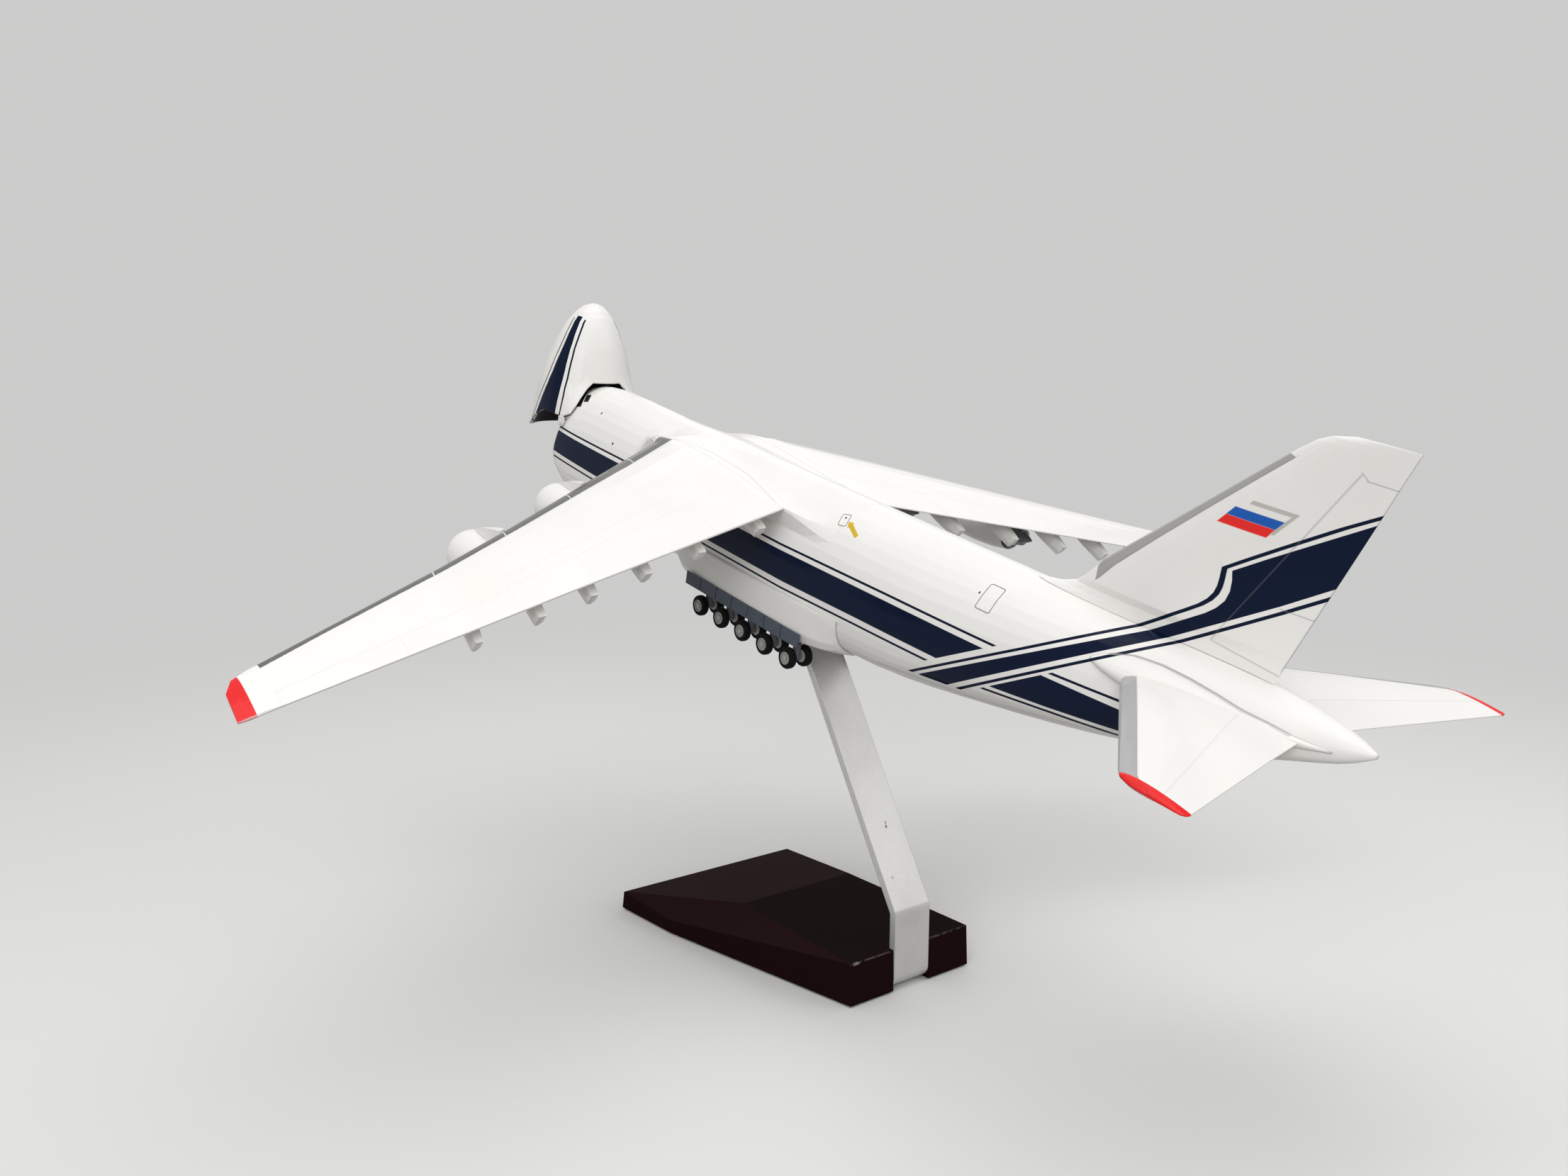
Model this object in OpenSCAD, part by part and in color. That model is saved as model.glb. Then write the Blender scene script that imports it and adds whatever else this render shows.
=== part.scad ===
// Desk display model of a large four engined cargo aeroplane with its nose visor open,
// carried nose up on a bent metal arm that stands in a wedge shaped base.
// World frame: origin at the centre of the base underside, nose toward -Y, port wing toward +X.
// Aeroplane frame: x to port, y is the station aft of the visor joint, z above the hull datum.

/* [Stand] */
// Length of the base from front edge to rear edge
base_l = 134; // [120:1:150]
// Width of the base at its rear edge
base_rear_w = 62; // [50:1:76]
// Width of the base at its front edge
base_front_w = 93; // [80:1:110]
// Height of the base at its rear edge
base_rear_h = 17; // [14:0.5:22]
// Height of the base at its front edge
base_front_h = 8; // [6:0.5:11]
// Height of the ridge across the base
base_ridge_h = 18.8; // [15:0.1:24]
// Thickness of the felt under the base
felt_t = 0.8; // [0.5:0.1:2]
// Width of the flat metal arm
arm_w = 18; // [12:0.5:24]
// Thickness of the flat metal arm
arm_t = 3; // [2:0.1:4]
// Height of the arm's bend above the table
bend_h = 31.4; // [26:0.2:40]
// Lean of the arm above its bend, from the horizontal
arm_lean = 59.5; // [50:0.5:70]
// Length of the arm from its bend to the belly
arm_reach = 122.3; // [100:0.5:140]
// Length of the tongue that enters the belly
tongue_l = 22; // [16:0.5:24]
// Nose up angle of the aeroplane on its stand
pitch = 12.5; // [5:0.5:20]

/* [Fuselage] */
// Half width of the hull amidships
hull_w = 24.3; // [22:0.1:27]
// Height of the hull top above the datum
hull_top = 28.2; // [26:0.1:31]
// Depth of the hull bottom under the datum
hull_bottom = 27; // [24:0.1:30]
// Station of the tip of the tail cone
tail_tip_s = 412.4; // [405:0.5:420]
// Length of the nose visor ahead of its joint
visor_l = 52.5; // [48:0.5:58]
// Thickness of the hull wall round the hold
hull_wall = 1.5; // [1.2:0.1:2.2]
// Thickness of the visor wall
visor_wall = 1.2; // [1:0.1:1.8]
// Depth of the open hold behind the visor joint
hold_l = 66; // [50:1:72]
// Radius of the visor hinge pins
pin_r = 0.8; // [0.6:0.05:1]

/* [Wing] */
// Half span of the wing
half_span = 244.3; // [230:0.5:260]
// Thickness of the wing as a share of its chord
wing_thick = 0.115; // [0.09:0.005:0.14]
// Radius of the engine cowls
cowl_r = 9.6; // [8:0.1:11]
// Length of the engine cowls
cowl_l = 30; // [26:0.5:36]
// Distance of the inner engines from the centre line
inner_x = 82; // [74:0.5:90]
// Distance of the outer engines from the centre line
outer_x = 131; // [122:0.5:140]

/* [Tail] */
// Height of the fin tip above the datum
fin_top = 100; // [92:0.5:108]
// Half span of the tailplane
tail_span = 84; // [76:0.2:90]

/* [Landing gear] */
// Distance between the main axles
axle_pitch = 14.87; // [12:0.01:17]
// Station of the middle main axle
axle_mid_s = 166.5; // [155:0.5:178]
// Radius of the tyres
tyre_r = 4.3; // [3.5:0.1:5]
// Width of a tyre
tyre_w = 3.2; // [2.4:0.1:3.6]
// Radius of the axles
axle_r = 0.7; // [0.5:0.05:0.9]
// Depth of the axles under the datum
axle_drop = 35.1; // [34:0.1:38]

/* [Hidden] */

white = [0.93, 0.93, 0.92];
silver = [0.75, 0.76, 0.77];
burgundy = [0.20, 0.05, 0.06];
grey = [0.55, 0.57, 0.60];
blue_grey = [0.42, 0.48, 0.58];
rubber = [0.05, 0.05, 0.05];

// Running clearance of pins and axles, and gap between pieces that are glued together
run_gap = 0.05;
seat_gap = 0.1;

// Values interpolated smoothly down one column of a table whose first column is the station
function slope(t, i, c) = i == 0 ? (t[1][c] - t[0][c]) / (t[1][0] - t[0][0])
    : i == len(t) - 1 ? (t[i][c] - t[i - 1][c]) / (t[i][0] - t[i - 1][0])
    : (t[i + 1][c] - t[i - 1][c]) / (t[i + 1][0] - t[i - 1][0]);
function row_of(t, s, i = 0) = i >= len(t) - 2 || s < t[i + 1][0] ? i : row_of(t, s, i + 1);
function hermite(a, b, ma, mb, h, u) = (2 * pow(u, 3) - 3 * u * u + 1) * a
    + (pow(u, 3) - 2 * u * u + u) * h * ma + (3 * u * u - 2 * pow(u, 3)) * b
    + (pow(u, 3) - u * u) * h * mb;
function curve(t, s, c) = let(i = row_of(t, s), h = t[i + 1][0] - t[i][0], u = (s - t[i][0]) / h)
    hermite(t[i][c], t[i + 1][c], slope(t, i, c), slope(t, i + 1, c), h, min(1, max(0, u)));
function mix(a, b, u) = a + (b - a) * u;
function ease(u) = let(v = min(1, max(0, u))) v * v * (3 - 2 * v);
function spow(v, e) = sign(v) * pow(abs(v), e);

// Solid through a list of closed rings with the same number of points each. Its end faces fan out
// from their middles, or join the upper and lower half of the ring in strips
module loft(rings, flip = false, strips = false) {
    n = len(rings[0]);
    m = len(rings);
    h = n / 2;
    o = (m - 1) * n;
    first = [for (c = [0:2]) [for (p = rings[0]) p[c]] * [for (p = rings[0]) 1] / n];
    last = [for (c = [0:2]) [for (p = rings[m - 1]) p[c]] * [for (p = rings[0]) 1] / n];
    points = concat([for (r = rings) each r], strips ? [] : [first, last]);
    sides = [for (i = [0:m - 2], k = [0:n - 1]) let(j = (k + 1) % n) each
        [[i * n + k, i * n + j, (i + 1) * n + j], [i * n + k, (i + 1) * n + j, (i + 1) * n + k]]];
    fans = [for (k = [0:n - 1]) each
        [[m * n, (k + 1) % n, k], [m * n + 1, o + k, o + (k + 1) % n]]];
    ends = strips ? concat(
        [for (k = [1:floor(h) - 1]) each [[k + 1, k, n - k], [o + k, o + k + 1, o + n - k]]],
        [for (k = [0:ceil(h) - 2]) each [[k + 1, (n - k) % n, n - k - 1],
            [o + (n - k) % n, o + k + 1, o + n - k - 1]]]) : fans;
    faces = concat(sides, ends);
    polyhedron(points, flip ? [for (f = faces) [f[2], f[1], f[0]]] : faces);
}
module mirrored(side) {
    if (side > 0) children();
    else mirror([1, 0, 0]) children();
}

// Hull sections. Columns: station, half width, top, bottom, height of the widest line, top fullness
hull = [
    [0, hull_w - 0.9, hull_top - 1.4, -hull_bottom + 3.2, -5, 1.75],
    [8, hull_w - 0.4, hull_top + 0.4, -hull_bottom + 2.1, -5, 1.8],
    [20, hull_w - 0.1, hull_top + 1.4, -hull_bottom + 0.9, -5, 1.9],
    [40, hull_w, hull_top + 1.05, -hull_bottom + 0.2, -5, 2.0],
    [70, hull_w, hull_top + 0.3, -hull_bottom, -5, 2.05],
    [100, hull_w, hull_top, -hull_bottom, -5, 2.05],
    [220, hull_w, hull_top, -hull_bottom, -5, 2.05],
    [250, hull_w - 0.3, hull_top, -hull_bottom + 2.4, -4, 2.05],
    [290, hull_w - 1.7, hull_top - 0.2, -hull_bottom + 9, 0, 2.05],
    [330, hull_w - 4.7, hull_top - 0.6, -hull_bottom + 16.8, 4, 2.05],
    [365, hull_w - 9.1, hull_top - 1.4, -hull_bottom + 26, 9, 2.05],
    [392, hull_w - 14.7, hull_top - 3.6, -hull_bottom + 35.9, 14, 2],
    [406, hull_w - 19.5, hull_top - 6.4, -hull_bottom + 41.2, 17, 2],
    [tail_tip_s, 0.8, 19.6, 18.2, 18.9, 2]];
belly_fullness = 3;
hull_n = 40;
function oval(w, top, bottom, mid, e, a) = sin(a) >= 0
    ? [w * spow(cos(a), 2 / e), mid + (top - mid) * spow(sin(a), 2 / e)]
    : [w * spow(cos(a), 2 / belly_fullness),
       mid - (mid - bottom) * pow(-sin(a), 2 / belly_fullness)];
// Point on the hull at a station and angle, moved out by a distance
function hull_pt(s, a, out = 0) = let(q = oval(curve(hull, s, 1) + out, curve(hull, s, 2) + out,
    curve(hull, s, 3) - out, curve(hull, s, 4), curve(hull, s, 5), a)) [q[0], s, q[1]];
// Half width of the hull at a height above its widest line, and its height at a half width
function hull_half_w(s, z) = let(e = curve(hull, s, 5), m = curve(hull, s, 4))
    curve(hull, s, 1) * pow(1 - pow((z - m) / (curve(hull, s, 2) - m), e), 1 / e);
function hull_z(s, x) = let(e = curve(hull, s, 5), m = curve(hull, s, 4))
    m + (curve(hull, s, 2) - m) * pow(1 - pow(abs(x) / curve(hull, s, 1), e), 1 / e);

// Joint between visor and hull: upright at the sides and raked aft at the chin
rake_from_z = -8.5;
rake_h = 11;
rake_s = 11.5;
function angle_of(k) = 360 * k / hull_n;
function joint_s(a) = let(z = hull_pt(0, a)[2])
    rake_s * sin(90 * min(1, max(0, (rake_from_z - z) / rake_h)));
visor_gap = 0.4;
hinge_s = 2.5;
hinge_z = 10;

// Place of the wing fairing saddle, and of the belly socket
saddle_z = 12;
saddle_s0 = 68;
saddle_s1 = 204;
socket_s = 176.7;
arm_in_hull = arm_lean - pitch;
socket_wall = 1.6;
socket_gap = 0.3;

// The aeroplane stands on the arm with the socket mouth at the arm's reach
bend_y = base_l / 2 - arm_t / 2;
module on_arm() {
    translate([0, bend_y - arm_reach * cos(arm_lean), bend_h + arm_reach * sin(arm_lean)])
        rotate([-pitch, 0, 0]) translate([0, -socket_s, hull_bottom]) children();
}
// Frame of the arm's tongue in the aeroplane: z along the arm, y across its thickness
module along_tongue() {
    translate([0, socket_s, -hull_bottom]) rotate([90 - arm_in_hull, 0, 0]) children();
}

// Stand
base_bevel_s = 36;
base_bevel_w = 91;
base_bevel_h = 6;
ridge_s = 65;
ridge_w = 57;
foot_l = 40;
foot_gap = 0.3;
screw_r = 1.5;
screw_head_r = 2.8;
screw_head_h = 1.7;
screw_l = 9;
screw_s = [14, 30];
bend_r = 5;

module base_body() {
    y0 = -base_l / 2;
    y1 = base_l / 2;
    low = [[base_rear_w / 2, y1], [base_bevel_w / 2, y0 + base_bevel_s], [base_front_w / 2, y0]];
    draft = 0.5;
    top = [[base_rear_w / 2 - draft, y1 - draft, base_rear_h],
        [base_bevel_w / 2 - draft, y0 + base_bevel_s, base_bevel_h],
        [base_front_w / 2 - draft, y0 + draft, base_front_h],
        [ridge_w / 2, y1 - ridge_s - 4, base_ridge_h]];
    points = concat([for (p = low) [p[0], p[1], felt_t]], [for (p = low) [-p[0], p[1], felt_t]],
        top, [for (p = top) [-p[0], p[1], p[2]]]);
    // Corner numbers: 0 to 2 and 3 to 5 below, 6 to 9 and 10 to 13 above, port side first
    faces = [[0, 1, 2, 5, 4, 3], [0, 3, 10, 6], [2, 8, 12, 5], [1, 0, 6, 7], [2, 1, 7, 8],
        [3, 4, 11, 10], [4, 5, 12, 11], [6, 10, 13, 9], [9, 13, 12, 8],
        [6, 9, 7], [7, 9, 8], [10, 11, 13], [11, 12, 13]];
    polyhedron(points, [for (f = faces) [for (i = [len(f) - 1:-1:0]) f[i]]]);
}
module screw_places() {
    for (s = screw_s) translate([0, base_l / 2 - s, felt_t + foot_gap]) children();
}
module base() {
    slot_w = arm_w + 2 * foot_gap;
    color(burgundy) difference() {
        base_body();
        translate([-slot_w / 2, base_l / 2 - arm_t - foot_gap, -1])
            cube([slot_w, arm_t + 2, base_ridge_h + 4]);
        translate([-slot_w / 2, base_l / 2 - bend_r - foot_gap, -1])
            cube([slot_w, bend_r + 2, 1 + felt_t + bend_r + 2 * foot_gap]);
        translate([-slot_w / 2, base_l / 2 - foot_l - foot_gap, -1])
            cube([slot_w, foot_l + 2, 1 + felt_t + arm_t + foot_gap + seat_gap]);
        screw_places() cylinder(r = screw_r + run_gap, h = screw_l + 0.6, $fn = 32);
    }
}
module base_felt() {
    inset = 2;
    slot_w = arm_w + 4;
    k = (base_front_w - base_rear_w) / 2 / base_l;
    y0 = -base_l / 2 + inset;
    y1 = base_l / 2 - foot_l - inset;
    w0 = base_front_w / 2 - inset - k * inset - 2;
    w1 = base_front_w / 2 - k * (y1 + base_l / 2) - 3;
    color([0.06, 0.06, 0.06]) linear_extrude(felt_t)
        polygon([[-w0, y0], [w0, y0], [w1, y1], [-w1, y1]]);
}
// Outline of the bent strip, seen from the side, as a path with a thickness
arm_turns = 8;
function arc(c, r, a0, a1) = [for (i = [0:arm_turns]) let(a = mix(a0, a1, i / arm_turns))
    [c[0] + r * cos(a), c[1] + r * sin(a)]];
module stand_arm() {
    yr = base_l / 2;
    zf = felt_t + foot_gap;
    r = bend_r;
    ri = r - arm_t;
    // Centre of the foot bend and of the upper bend
    cf = [yr - r, zf + r];
    cb = [yr - r, bend_h - r * tan((90 - arm_lean) / 2)];
    a = 90 - arm_lean;
    end = [bend_y - (arm_reach + tongue_l) * cos(arm_lean),
        bend_h + (arm_reach + tongue_l) * sin(arm_lean)];
    side = [sin(arm_lean), cos(arm_lean)] * arm_t / 2;
    outer = concat([[yr - foot_l, zf]], arc(cf, r, -90, 0), arc(cb, r, 0, a), [end + side]);
    inner = concat([end - side], arc(cb, ri, a, 0), arc(cf, ri, 0, -90), [[yr - foot_l, zf + arm_t]]);
    color(silver) difference() {
        rotate([90, 0, 90]) translate([0, 0, -arm_w / 2]) linear_extrude(arm_w)
            polygon(concat(outer, inner));
        screw_places() {
            translate([0, 0, -1]) cylinder(r = screw_r + run_gap, h = arm_t + 2, $fn = 32);
            translate([0, 0, -0.01]) cylinder(r = screw_head_r + run_gap, h = screw_head_h, $fn = 32);
        }
    }
}
module foot_screws() {
    color(silver) screw_places() {
        cylinder(r = screw_r, h = screw_l, $fn = 32);
        cylinder(r = screw_head_r, h = screw_head_h - 0.05, $fn = 32);
    }
}

// Hull with an open hold at the front
outer_u = [0, 0.12, 0.3, 0.55, 1];
cabin_s = [48, 62, 76, 90, 104, 125, 150, 175, 200, 220, 235, 250, 264, 277, 290, 303, 316, 330,
    342, 354, 365, 375, 384, 392, 399, 404, 408, 410.7, tail_tip_s];
blend_s = 34;
function hull_ring(s) = [for (k = [0:hull_n - 1]) hull_pt(s, angle_of(k))];
function front_ring(u, out) = [for (k = [0:hull_n - 1])
    hull_pt(mix(joint_s(angle_of(k)), blend_s, u), angle_of(k), out)];
function hold_ring(s) = [for (k = [0:hull_n - 1]) hull_pt(s, angle_of(k), -hull_wall)];
module hull_solid() {
    loft(concat([for (s = [hold_l, 50]) hold_ring(s)],
        [for (u = [1, 0.5, 0]) front_ring(u, -hull_wall)],
        [for (u = outer_u) front_ring(u, 0)],
        [for (s = cabin_s) hull_ring(s)]));
}
module fuselage() {
    color(white) on_arm() difference() {
        hull_solid();
        translate([-60, saddle_s0, saddle_z]) cube([120, saddle_s1 - saddle_s0, 40]);
        along_tongue() translate([-socket_w() / 2, -socket_h() / 2, -20])
            cube([socket_w(), socket_h(), 20 + tongue_l + 2]);
        for (d = [-1, 1]) translate([d * 18, hinge_s, hinge_z]) rotate([0, 90, 0])
            cylinder(r = pin_r + run_gap, h = 12, center = true, $fn = 32);
    }
}
lug_r = 2;
lug_t = 1.1;
pin_in_hull = 3.6;
// The ears of the visor lie just outside the hull
function lug_x() = hull_half_w(hinge_s + lug_r, hinge_z - lug_r) + 0.35;
function socket_w() = arm_w + 2 * (socket_gap + socket_wall);
function socket_h() = arm_t + 2 * (socket_gap + socket_wall);
module belly_socket() {
    color(grey) on_arm() along_tongue() difference() {
        translate([-socket_w() / 2 + seat_gap / 2, -socket_h() / 2 + seat_gap / 2, 1.5])
            cube([socket_w() - seat_gap, socket_h() - seat_gap, tongue_l]);
        translate([-arm_w / 2 - socket_gap, -arm_t / 2 - socket_gap, 0])
            cube([arm_w + 2 * socket_gap, arm_t + 2 * socket_gap, tongue_l + 0.3]);
    }
}
floor_z = -16;
floor_n = 12;
function floor_a(s) = asin(pow((curve(hull, s, 4) - floor_z)
    / (curve(hull, s, 4) - curve(hull, s, 3) - hull_wall - seat_gap), belly_fullness / 2));
module cargo_floor() {
    color(grey) on_arm() loft([for (k = [0:4]) let(s = mix(rake_s + 3, hold_l - 0.3, k / 4))
        [for (j = [0:floor_n]) hull_pt(s, -mix(floor_a(s), 180 - floor_a(s), j / floor_n),
            -hull_wall - seat_gap)]], true);
}
// Brow of the cockpit ahead of the hull, in the visor's notch. Columns: station, half width, top
brow = [[-14.6, 6.5, 11.5], [-11, 9, 17], [-6, 11.3, 22.6], [-2, 12.8, 25.6], [-0.1, 13.4, 26.5]];
brow_z = 8;
module cockpit() {
    color(white) on_arm() loft([for (r = brow) concat(
        [for (k = [0:12]) let(a = 180 * k / 12)
            [r[1] * spow(cos(a), 0.9), r[0], brow_z + (r[2] - brow_z) * pow(sin(a), 0.8)]],
        [for (k = [1:3]) [r[1] * (k / 2 - 1), r[0], brow_z - 0.01]])]);
}

// Nose visor, drawn closed. Columns as for the hull
nose = [
    [-visor_l, 0.7, -5.4, -7, -6.2, 2],
    [-visor_l + 1.4, 4.4, -2.4, -10.4, -6.2, 2],
    [-visor_l + 5, 8.3, 1.8, -13.7, -6.2, 2],
    [-visor_l + 11, 12.4, 5.6, -16.9, -6.1, 2.05],
    [-visor_l + 20, 16.5, 9.2, -19.8, -5.9, 2.15],
    [-22, hull_w - 4.2, 11.8, -hull_bottom + 4.8, -5.6, 2.2],
    [-16.5, hull_w - 2.8, 12.9, -hull_bottom + 3.6, -5.3, 2.25],
    [-9, hull_w - 1.3, 18.1, -hull_bottom + 2.3, -5.1, 2.25],
    [0, hull_w - 0.5, hull_top - 1.6, -hull_bottom + 0.8, -5, 2.15],
    [12, hull_w + 0.8, hull_top + 0.8, -hull_bottom - 1.4, -5, 2.15]];
notch_s = -16.5;
notch_a0 = 32;
notch_a1 = 70;
function nose_pt(s, a, out = 0) = let(q = oval(max(0.3, curve(nose, s, 1) + out),
    curve(nose, s, 2) + out, curve(nose, s, 3) - out, curve(nose, s, 4), curve(nose, s, 5), a))
    [q[0], s, q[1]];
function from_side(a) = a > 90 && a <= 270 ? 180 - a : a > 270 ? a - 360 : a;
function mouth_s(a) = let(b = from_side(a)) b > notch_a0
    ? notch_s * min(1, (b - notch_a0) / (notch_a1 - notch_a0)) : joint_s(a);
nose_u = [0, 0.027, 0.08, 0.17, 0.28, 0.41, 0.55, 0.7, 0.85, 1];
inner_u = [1, 0.8, 0.6, 0.4, 0.22, 0.1];
function nose_ring(u, out) = [for (k = [0:hull_n - 1]) let(a = angle_of(k))
    nose_pt(mix(-visor_l, mouth_s(a) - visor_gap, u), a, out)];
module opened() {
    translate([0, hinge_s, hinge_z]) rotate([-90, 0, 0]) translate([0, -hinge_s, -hinge_z]) children();
}
module visor_shell() {
    color(white) on_arm() opened() loft(concat(
        [for (u = nose_u) nose_ring(u, 0)],
        [for (u = inner_u) nose_ring(u, -visor_wall)]));
}
module visor_arms() {
    color(grey) on_arm() opened() for (d = [-1, 1])
        translate([d * (lug_x() + lug_t / 2), 0, 0]) difference() {
            hull() {
                translate([0, hinge_s, hinge_z]) rotate([0, 90, 0])
                    cylinder(r = lug_r, h = lug_t, center = true, $fn = 32);
                translate([-lug_t / 2, -visor_gap + 0.05, hinge_z - lug_r]) cube([lug_t, 0.5, 2 * lug_r]);
            }
            translate([0, hinge_s, hinge_z]) rotate([0, 90, 0])
                cylinder(r = pin_r + run_gap, h = 4, center = true, $fn = 32);
        }
}
module hinge_pins() {
    pin_l = pin_in_hull + lug_t + 0.1;
    color(silver) on_arm() for (d = [-1, 1]) translate([d * (lug_x() - pin_in_hull), hinge_s, hinge_z])
        rotate([0, d * 90, 0]) {
            cylinder(r = pin_r, h = pin_l + 0.4, $fn = 32);
            translate([0, 0, pin_l]) cylinder(r = pin_r + 0.4, h = 0.4, $fn = 32);
        }
}

// Wing. Columns: distance out, leading edge station, trailing edge station, their heights,
// thickness as a share of the usual one
root_x = hull_half_w(140, saddle_z) + 1.9;
wing = [
    [root_x, 82, 178, 22.4, 19.3, 0.84],
    [root_x + 2, 87, 178.6, 23, 19, 0.87],
    [root_x + 4.6, 91.4, 179.3, 23.3, 18.7, 0.89],
    [root_x + 8, 95.4, 180.2, 23, 18.3, 0.91],
    [66, 117.4, 189.5, 18.5, 13.8, 0.97],
    [128, 156.3, 206.1, 10.4, 6, 1],
    [163.5, 177.3, 215.9, 5.7, 1.4, 1],
    [half_span - 13.8, 213.8, 234.1, -3.2, -7.2, 1],
    [half_span - 8, 216.8, 235.7, -4, -8, 0.95],
    [half_span - 3, 220.4, 236.8, -4.7, -8.9, 0.9],
    [half_span, 226.5, 237, -5.5, -9.4, 0.5]];
foil_n = 12;
edge_t = 0.35;
function foil_half(u, t) = 5 * t * (0.2969 * sqrt(u) - 0.126 * u - 0.3516 * u * u
    + 0.2843 * pow(u, 3) - 0.1036 * pow(u, 4));
function foil_camber(u) = 0.035 * u * (1 - u);
// Heights of the upper and lower surface at a share of the chord
function foil_z(row, u, t, up) = let(c = row[2] - row[1])
    mix(row[3], row[4], u) + c * foil_camber(u) + up * (c * foil_half(u, t) + edge_t / 2 * u);
function foil_ring(row, t) = concat(
    [for (k = [0:foil_n]) let(u = (1 - cos(180 * k / foil_n)) / 2)
        [row[0], mix(row[1], row[2], u), foil_z(row, u, t, 1)]],
    [for (k = [foil_n:-1:1]) let(u = (1 - cos(180 * k / foil_n)) / 2)
        [row[0], mix(row[1], row[2], u), foil_z(row, u, t, -1)]]);
function wing_row(x) = let(i = row_of(wing, x), r = wing[i], u = (x - r[0]) / (wing[i + 1][0] - r[0]))
    mix(wing[i], wing[i + 1], u);
function wing_z(x, s, up) = let(r = wing_row(x)) foil_z(r, (s - r[1]) / (r[2] - r[1]),
    wing_thick * r[5], up);
wing_x = [root_x, root_x + 2, root_x + 4.6, root_x + 8, 40, 52, 66, 82, 98, 114, 128, 146, 163.5, 186, 208,
    half_span - 13.8, half_span - 8, half_span - 3, half_span];
module wing_panel(side) {
    color(white) on_arm() mirrored(side)
        loft([for (x = wing_x) foil_ring(wing_row(x), wing_thick * wing_row(x)[5])]);
}
module wing_left() { wing_panel(1); }
module wing_right() { wing_panel(-1); }

// Fairing over the wing centre section, seated in the saddle of the hull. It flares out to the
// wing root, and a hollow curve leads from the wing's upper surface to the round of the hull
fair_n = 15;
fair_wall = 3;
fair_s = [saddle_s0, 71, 74, 78, 82, 86, 90, 95, 102, 112, 124, 136, 150, 163, 172, 177, 183, 190,
    197, saddle_s1];
fair_soft = 2.4;
function soft_max(a, b, k) = (a + b + sqrt((a - b) * (a - b) + k * k)) / 2;
function fair_share(s) = ease((s - saddle_s0) / 14) * ease((saddle_s1 - s) / 27);
function in_root(s) = min(wing[0][2] - 0.1, max(wing[0][1] + 0.1, s));
function fair_shoulder(s, up) = wing_z(root_x, in_root(s), up) + (up > 0 ? 0.1 : -0.3);
function fair_b(s, k) = let(low = max(saddle_z + 0.5, fair_shoulder(s, -1)), high = fair_shoulder(s, 1),
    w = pow((k - fair_wall) / (fair_n - fair_wall), 1.2), x = root_x * (1 - w))
    k == 0 ? [hull_half_w(s, saddle_z), saddle_z]
    : k <= fair_wall ? [root_x, mix(low, high, (k - 1) / (fair_wall - 1))]
    : [x, soft_max(hull_z(s, x), high, fair_soft * min(1, w * 4))];
function fair_edge(s, k) = let(a0 = asin(pow((saddle_z - curve(hull, s, 4))
    / (curve(hull, s, 2) - curve(hull, s, 4)), curve(hull, s, 5) / 2)),
    p = hull_pt(s, mix(a0, 90, k / fair_n)), b = fair_b(s, k))
    [mix(p[0], b[0], fair_share(s)), s, max(saddle_z, mix(p[2], b[1], fair_share(s)))];
module wing_fairing() {
    color(white) on_arm() loft([for (s = fair_s) concat(
        [for (k = [0:fair_n]) fair_edge(s, k)],
        [for (k = [fair_n - 1:-1:0]) let(p = fair_edge(s, k)) [-p[0], p[1], p[2]]])]);
}

// Engines, numbered from port to starboard
engine_x = [outer_x, inner_x, -inner_x, -outer_x];
// Distance of an engine's lip ahead of the wing edge, and of its axis below that edge
function ahead(x) = abs(x) > (inner_x + outer_x) / 2 ? 25.5 : 22;
function below(x) = abs(x) > (inner_x + outer_x) / 2 ? 15 : 13.6;
function lip_s(x) = wing_row(abs(x))[1] - ahead(x);
function engine_z(x) = wing_row(abs(x))[3] - below(x);
cowl = [[0, 0.86], [0.02, 0.9], [0.08, 0.96], [0.2, 1], [0.5, 1], [0.75, 0.95], [1, 0.84]];
duct_r = 7.4;
fan_depth = 8;
function cowl_at(u) = cowl_r * curve(cowl, u, 1);
module at_engine(i) {
    translate([engine_x[i], lip_s(engine_x[i]), engine_z(engine_x[i])]) rotate([-90, 0, 0]) children();
}
module nacelle(i) {
    steps = 14;
    lip = cowl_r - duct_r;
    color(white) on_arm() at_engine(i) rotate_extrude($fn = 48) polygon(concat(
        [for (k = [0:steps]) let(u = k / steps) [cowl_at(u), u * cowl_l]],
        [[duct_r + 0.3, cowl_l], [duct_r, fan_depth], [duct_r, 2], [duct_r + 0.25, 0.6]]));
}
module nacelle_1() { nacelle(0); }
module nacelle_2() { nacelle(1); }
module nacelle_3() { nacelle(2); }
module nacelle_4() { nacelle(3); }
module engine_fans() {
    blades = 16;
    color(grey) on_arm() for (i = [0:3]) at_engine(i) translate([0, 0, fan_depth]) {
        rotate_extrude($fn = 48) polygon([[0, -4.5], [1.2, -3.6], [2.2, -1.6], [2.5, 0],
            [duct_r - seat_gap / 2, 0], [duct_r - seat_gap / 2, 1.2], [0, 1.2]]);
        for (k = [0:blades - 1]) rotate([0, 0, 360 * k / blades]) translate([2.6, -0.2, -0.8])
            cube([duct_r - 3.2, 0.4, 1]);
    }
}
core_r = 5.2;
core_l = 11;
module exhaust_cones() {
    back = cowl_l - fan_depth;
    color([0.35, 0.34, 0.33]) on_arm() for (i = [0:3]) at_engine(i) translate([0, 0, fan_depth + 1.3])
        rotate_extrude($fn = 48) polygon([[0, 0], [duct_r - 0.2, 0], [core_r + 0.8, 4],
            [core_r + 0.6, back - 2], [core_r - 1.4, back + core_l - 5],
            [core_r - 2.2, back + core_l - 5], [0.4, back + core_l], [0, back + core_l]]);
}
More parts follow.
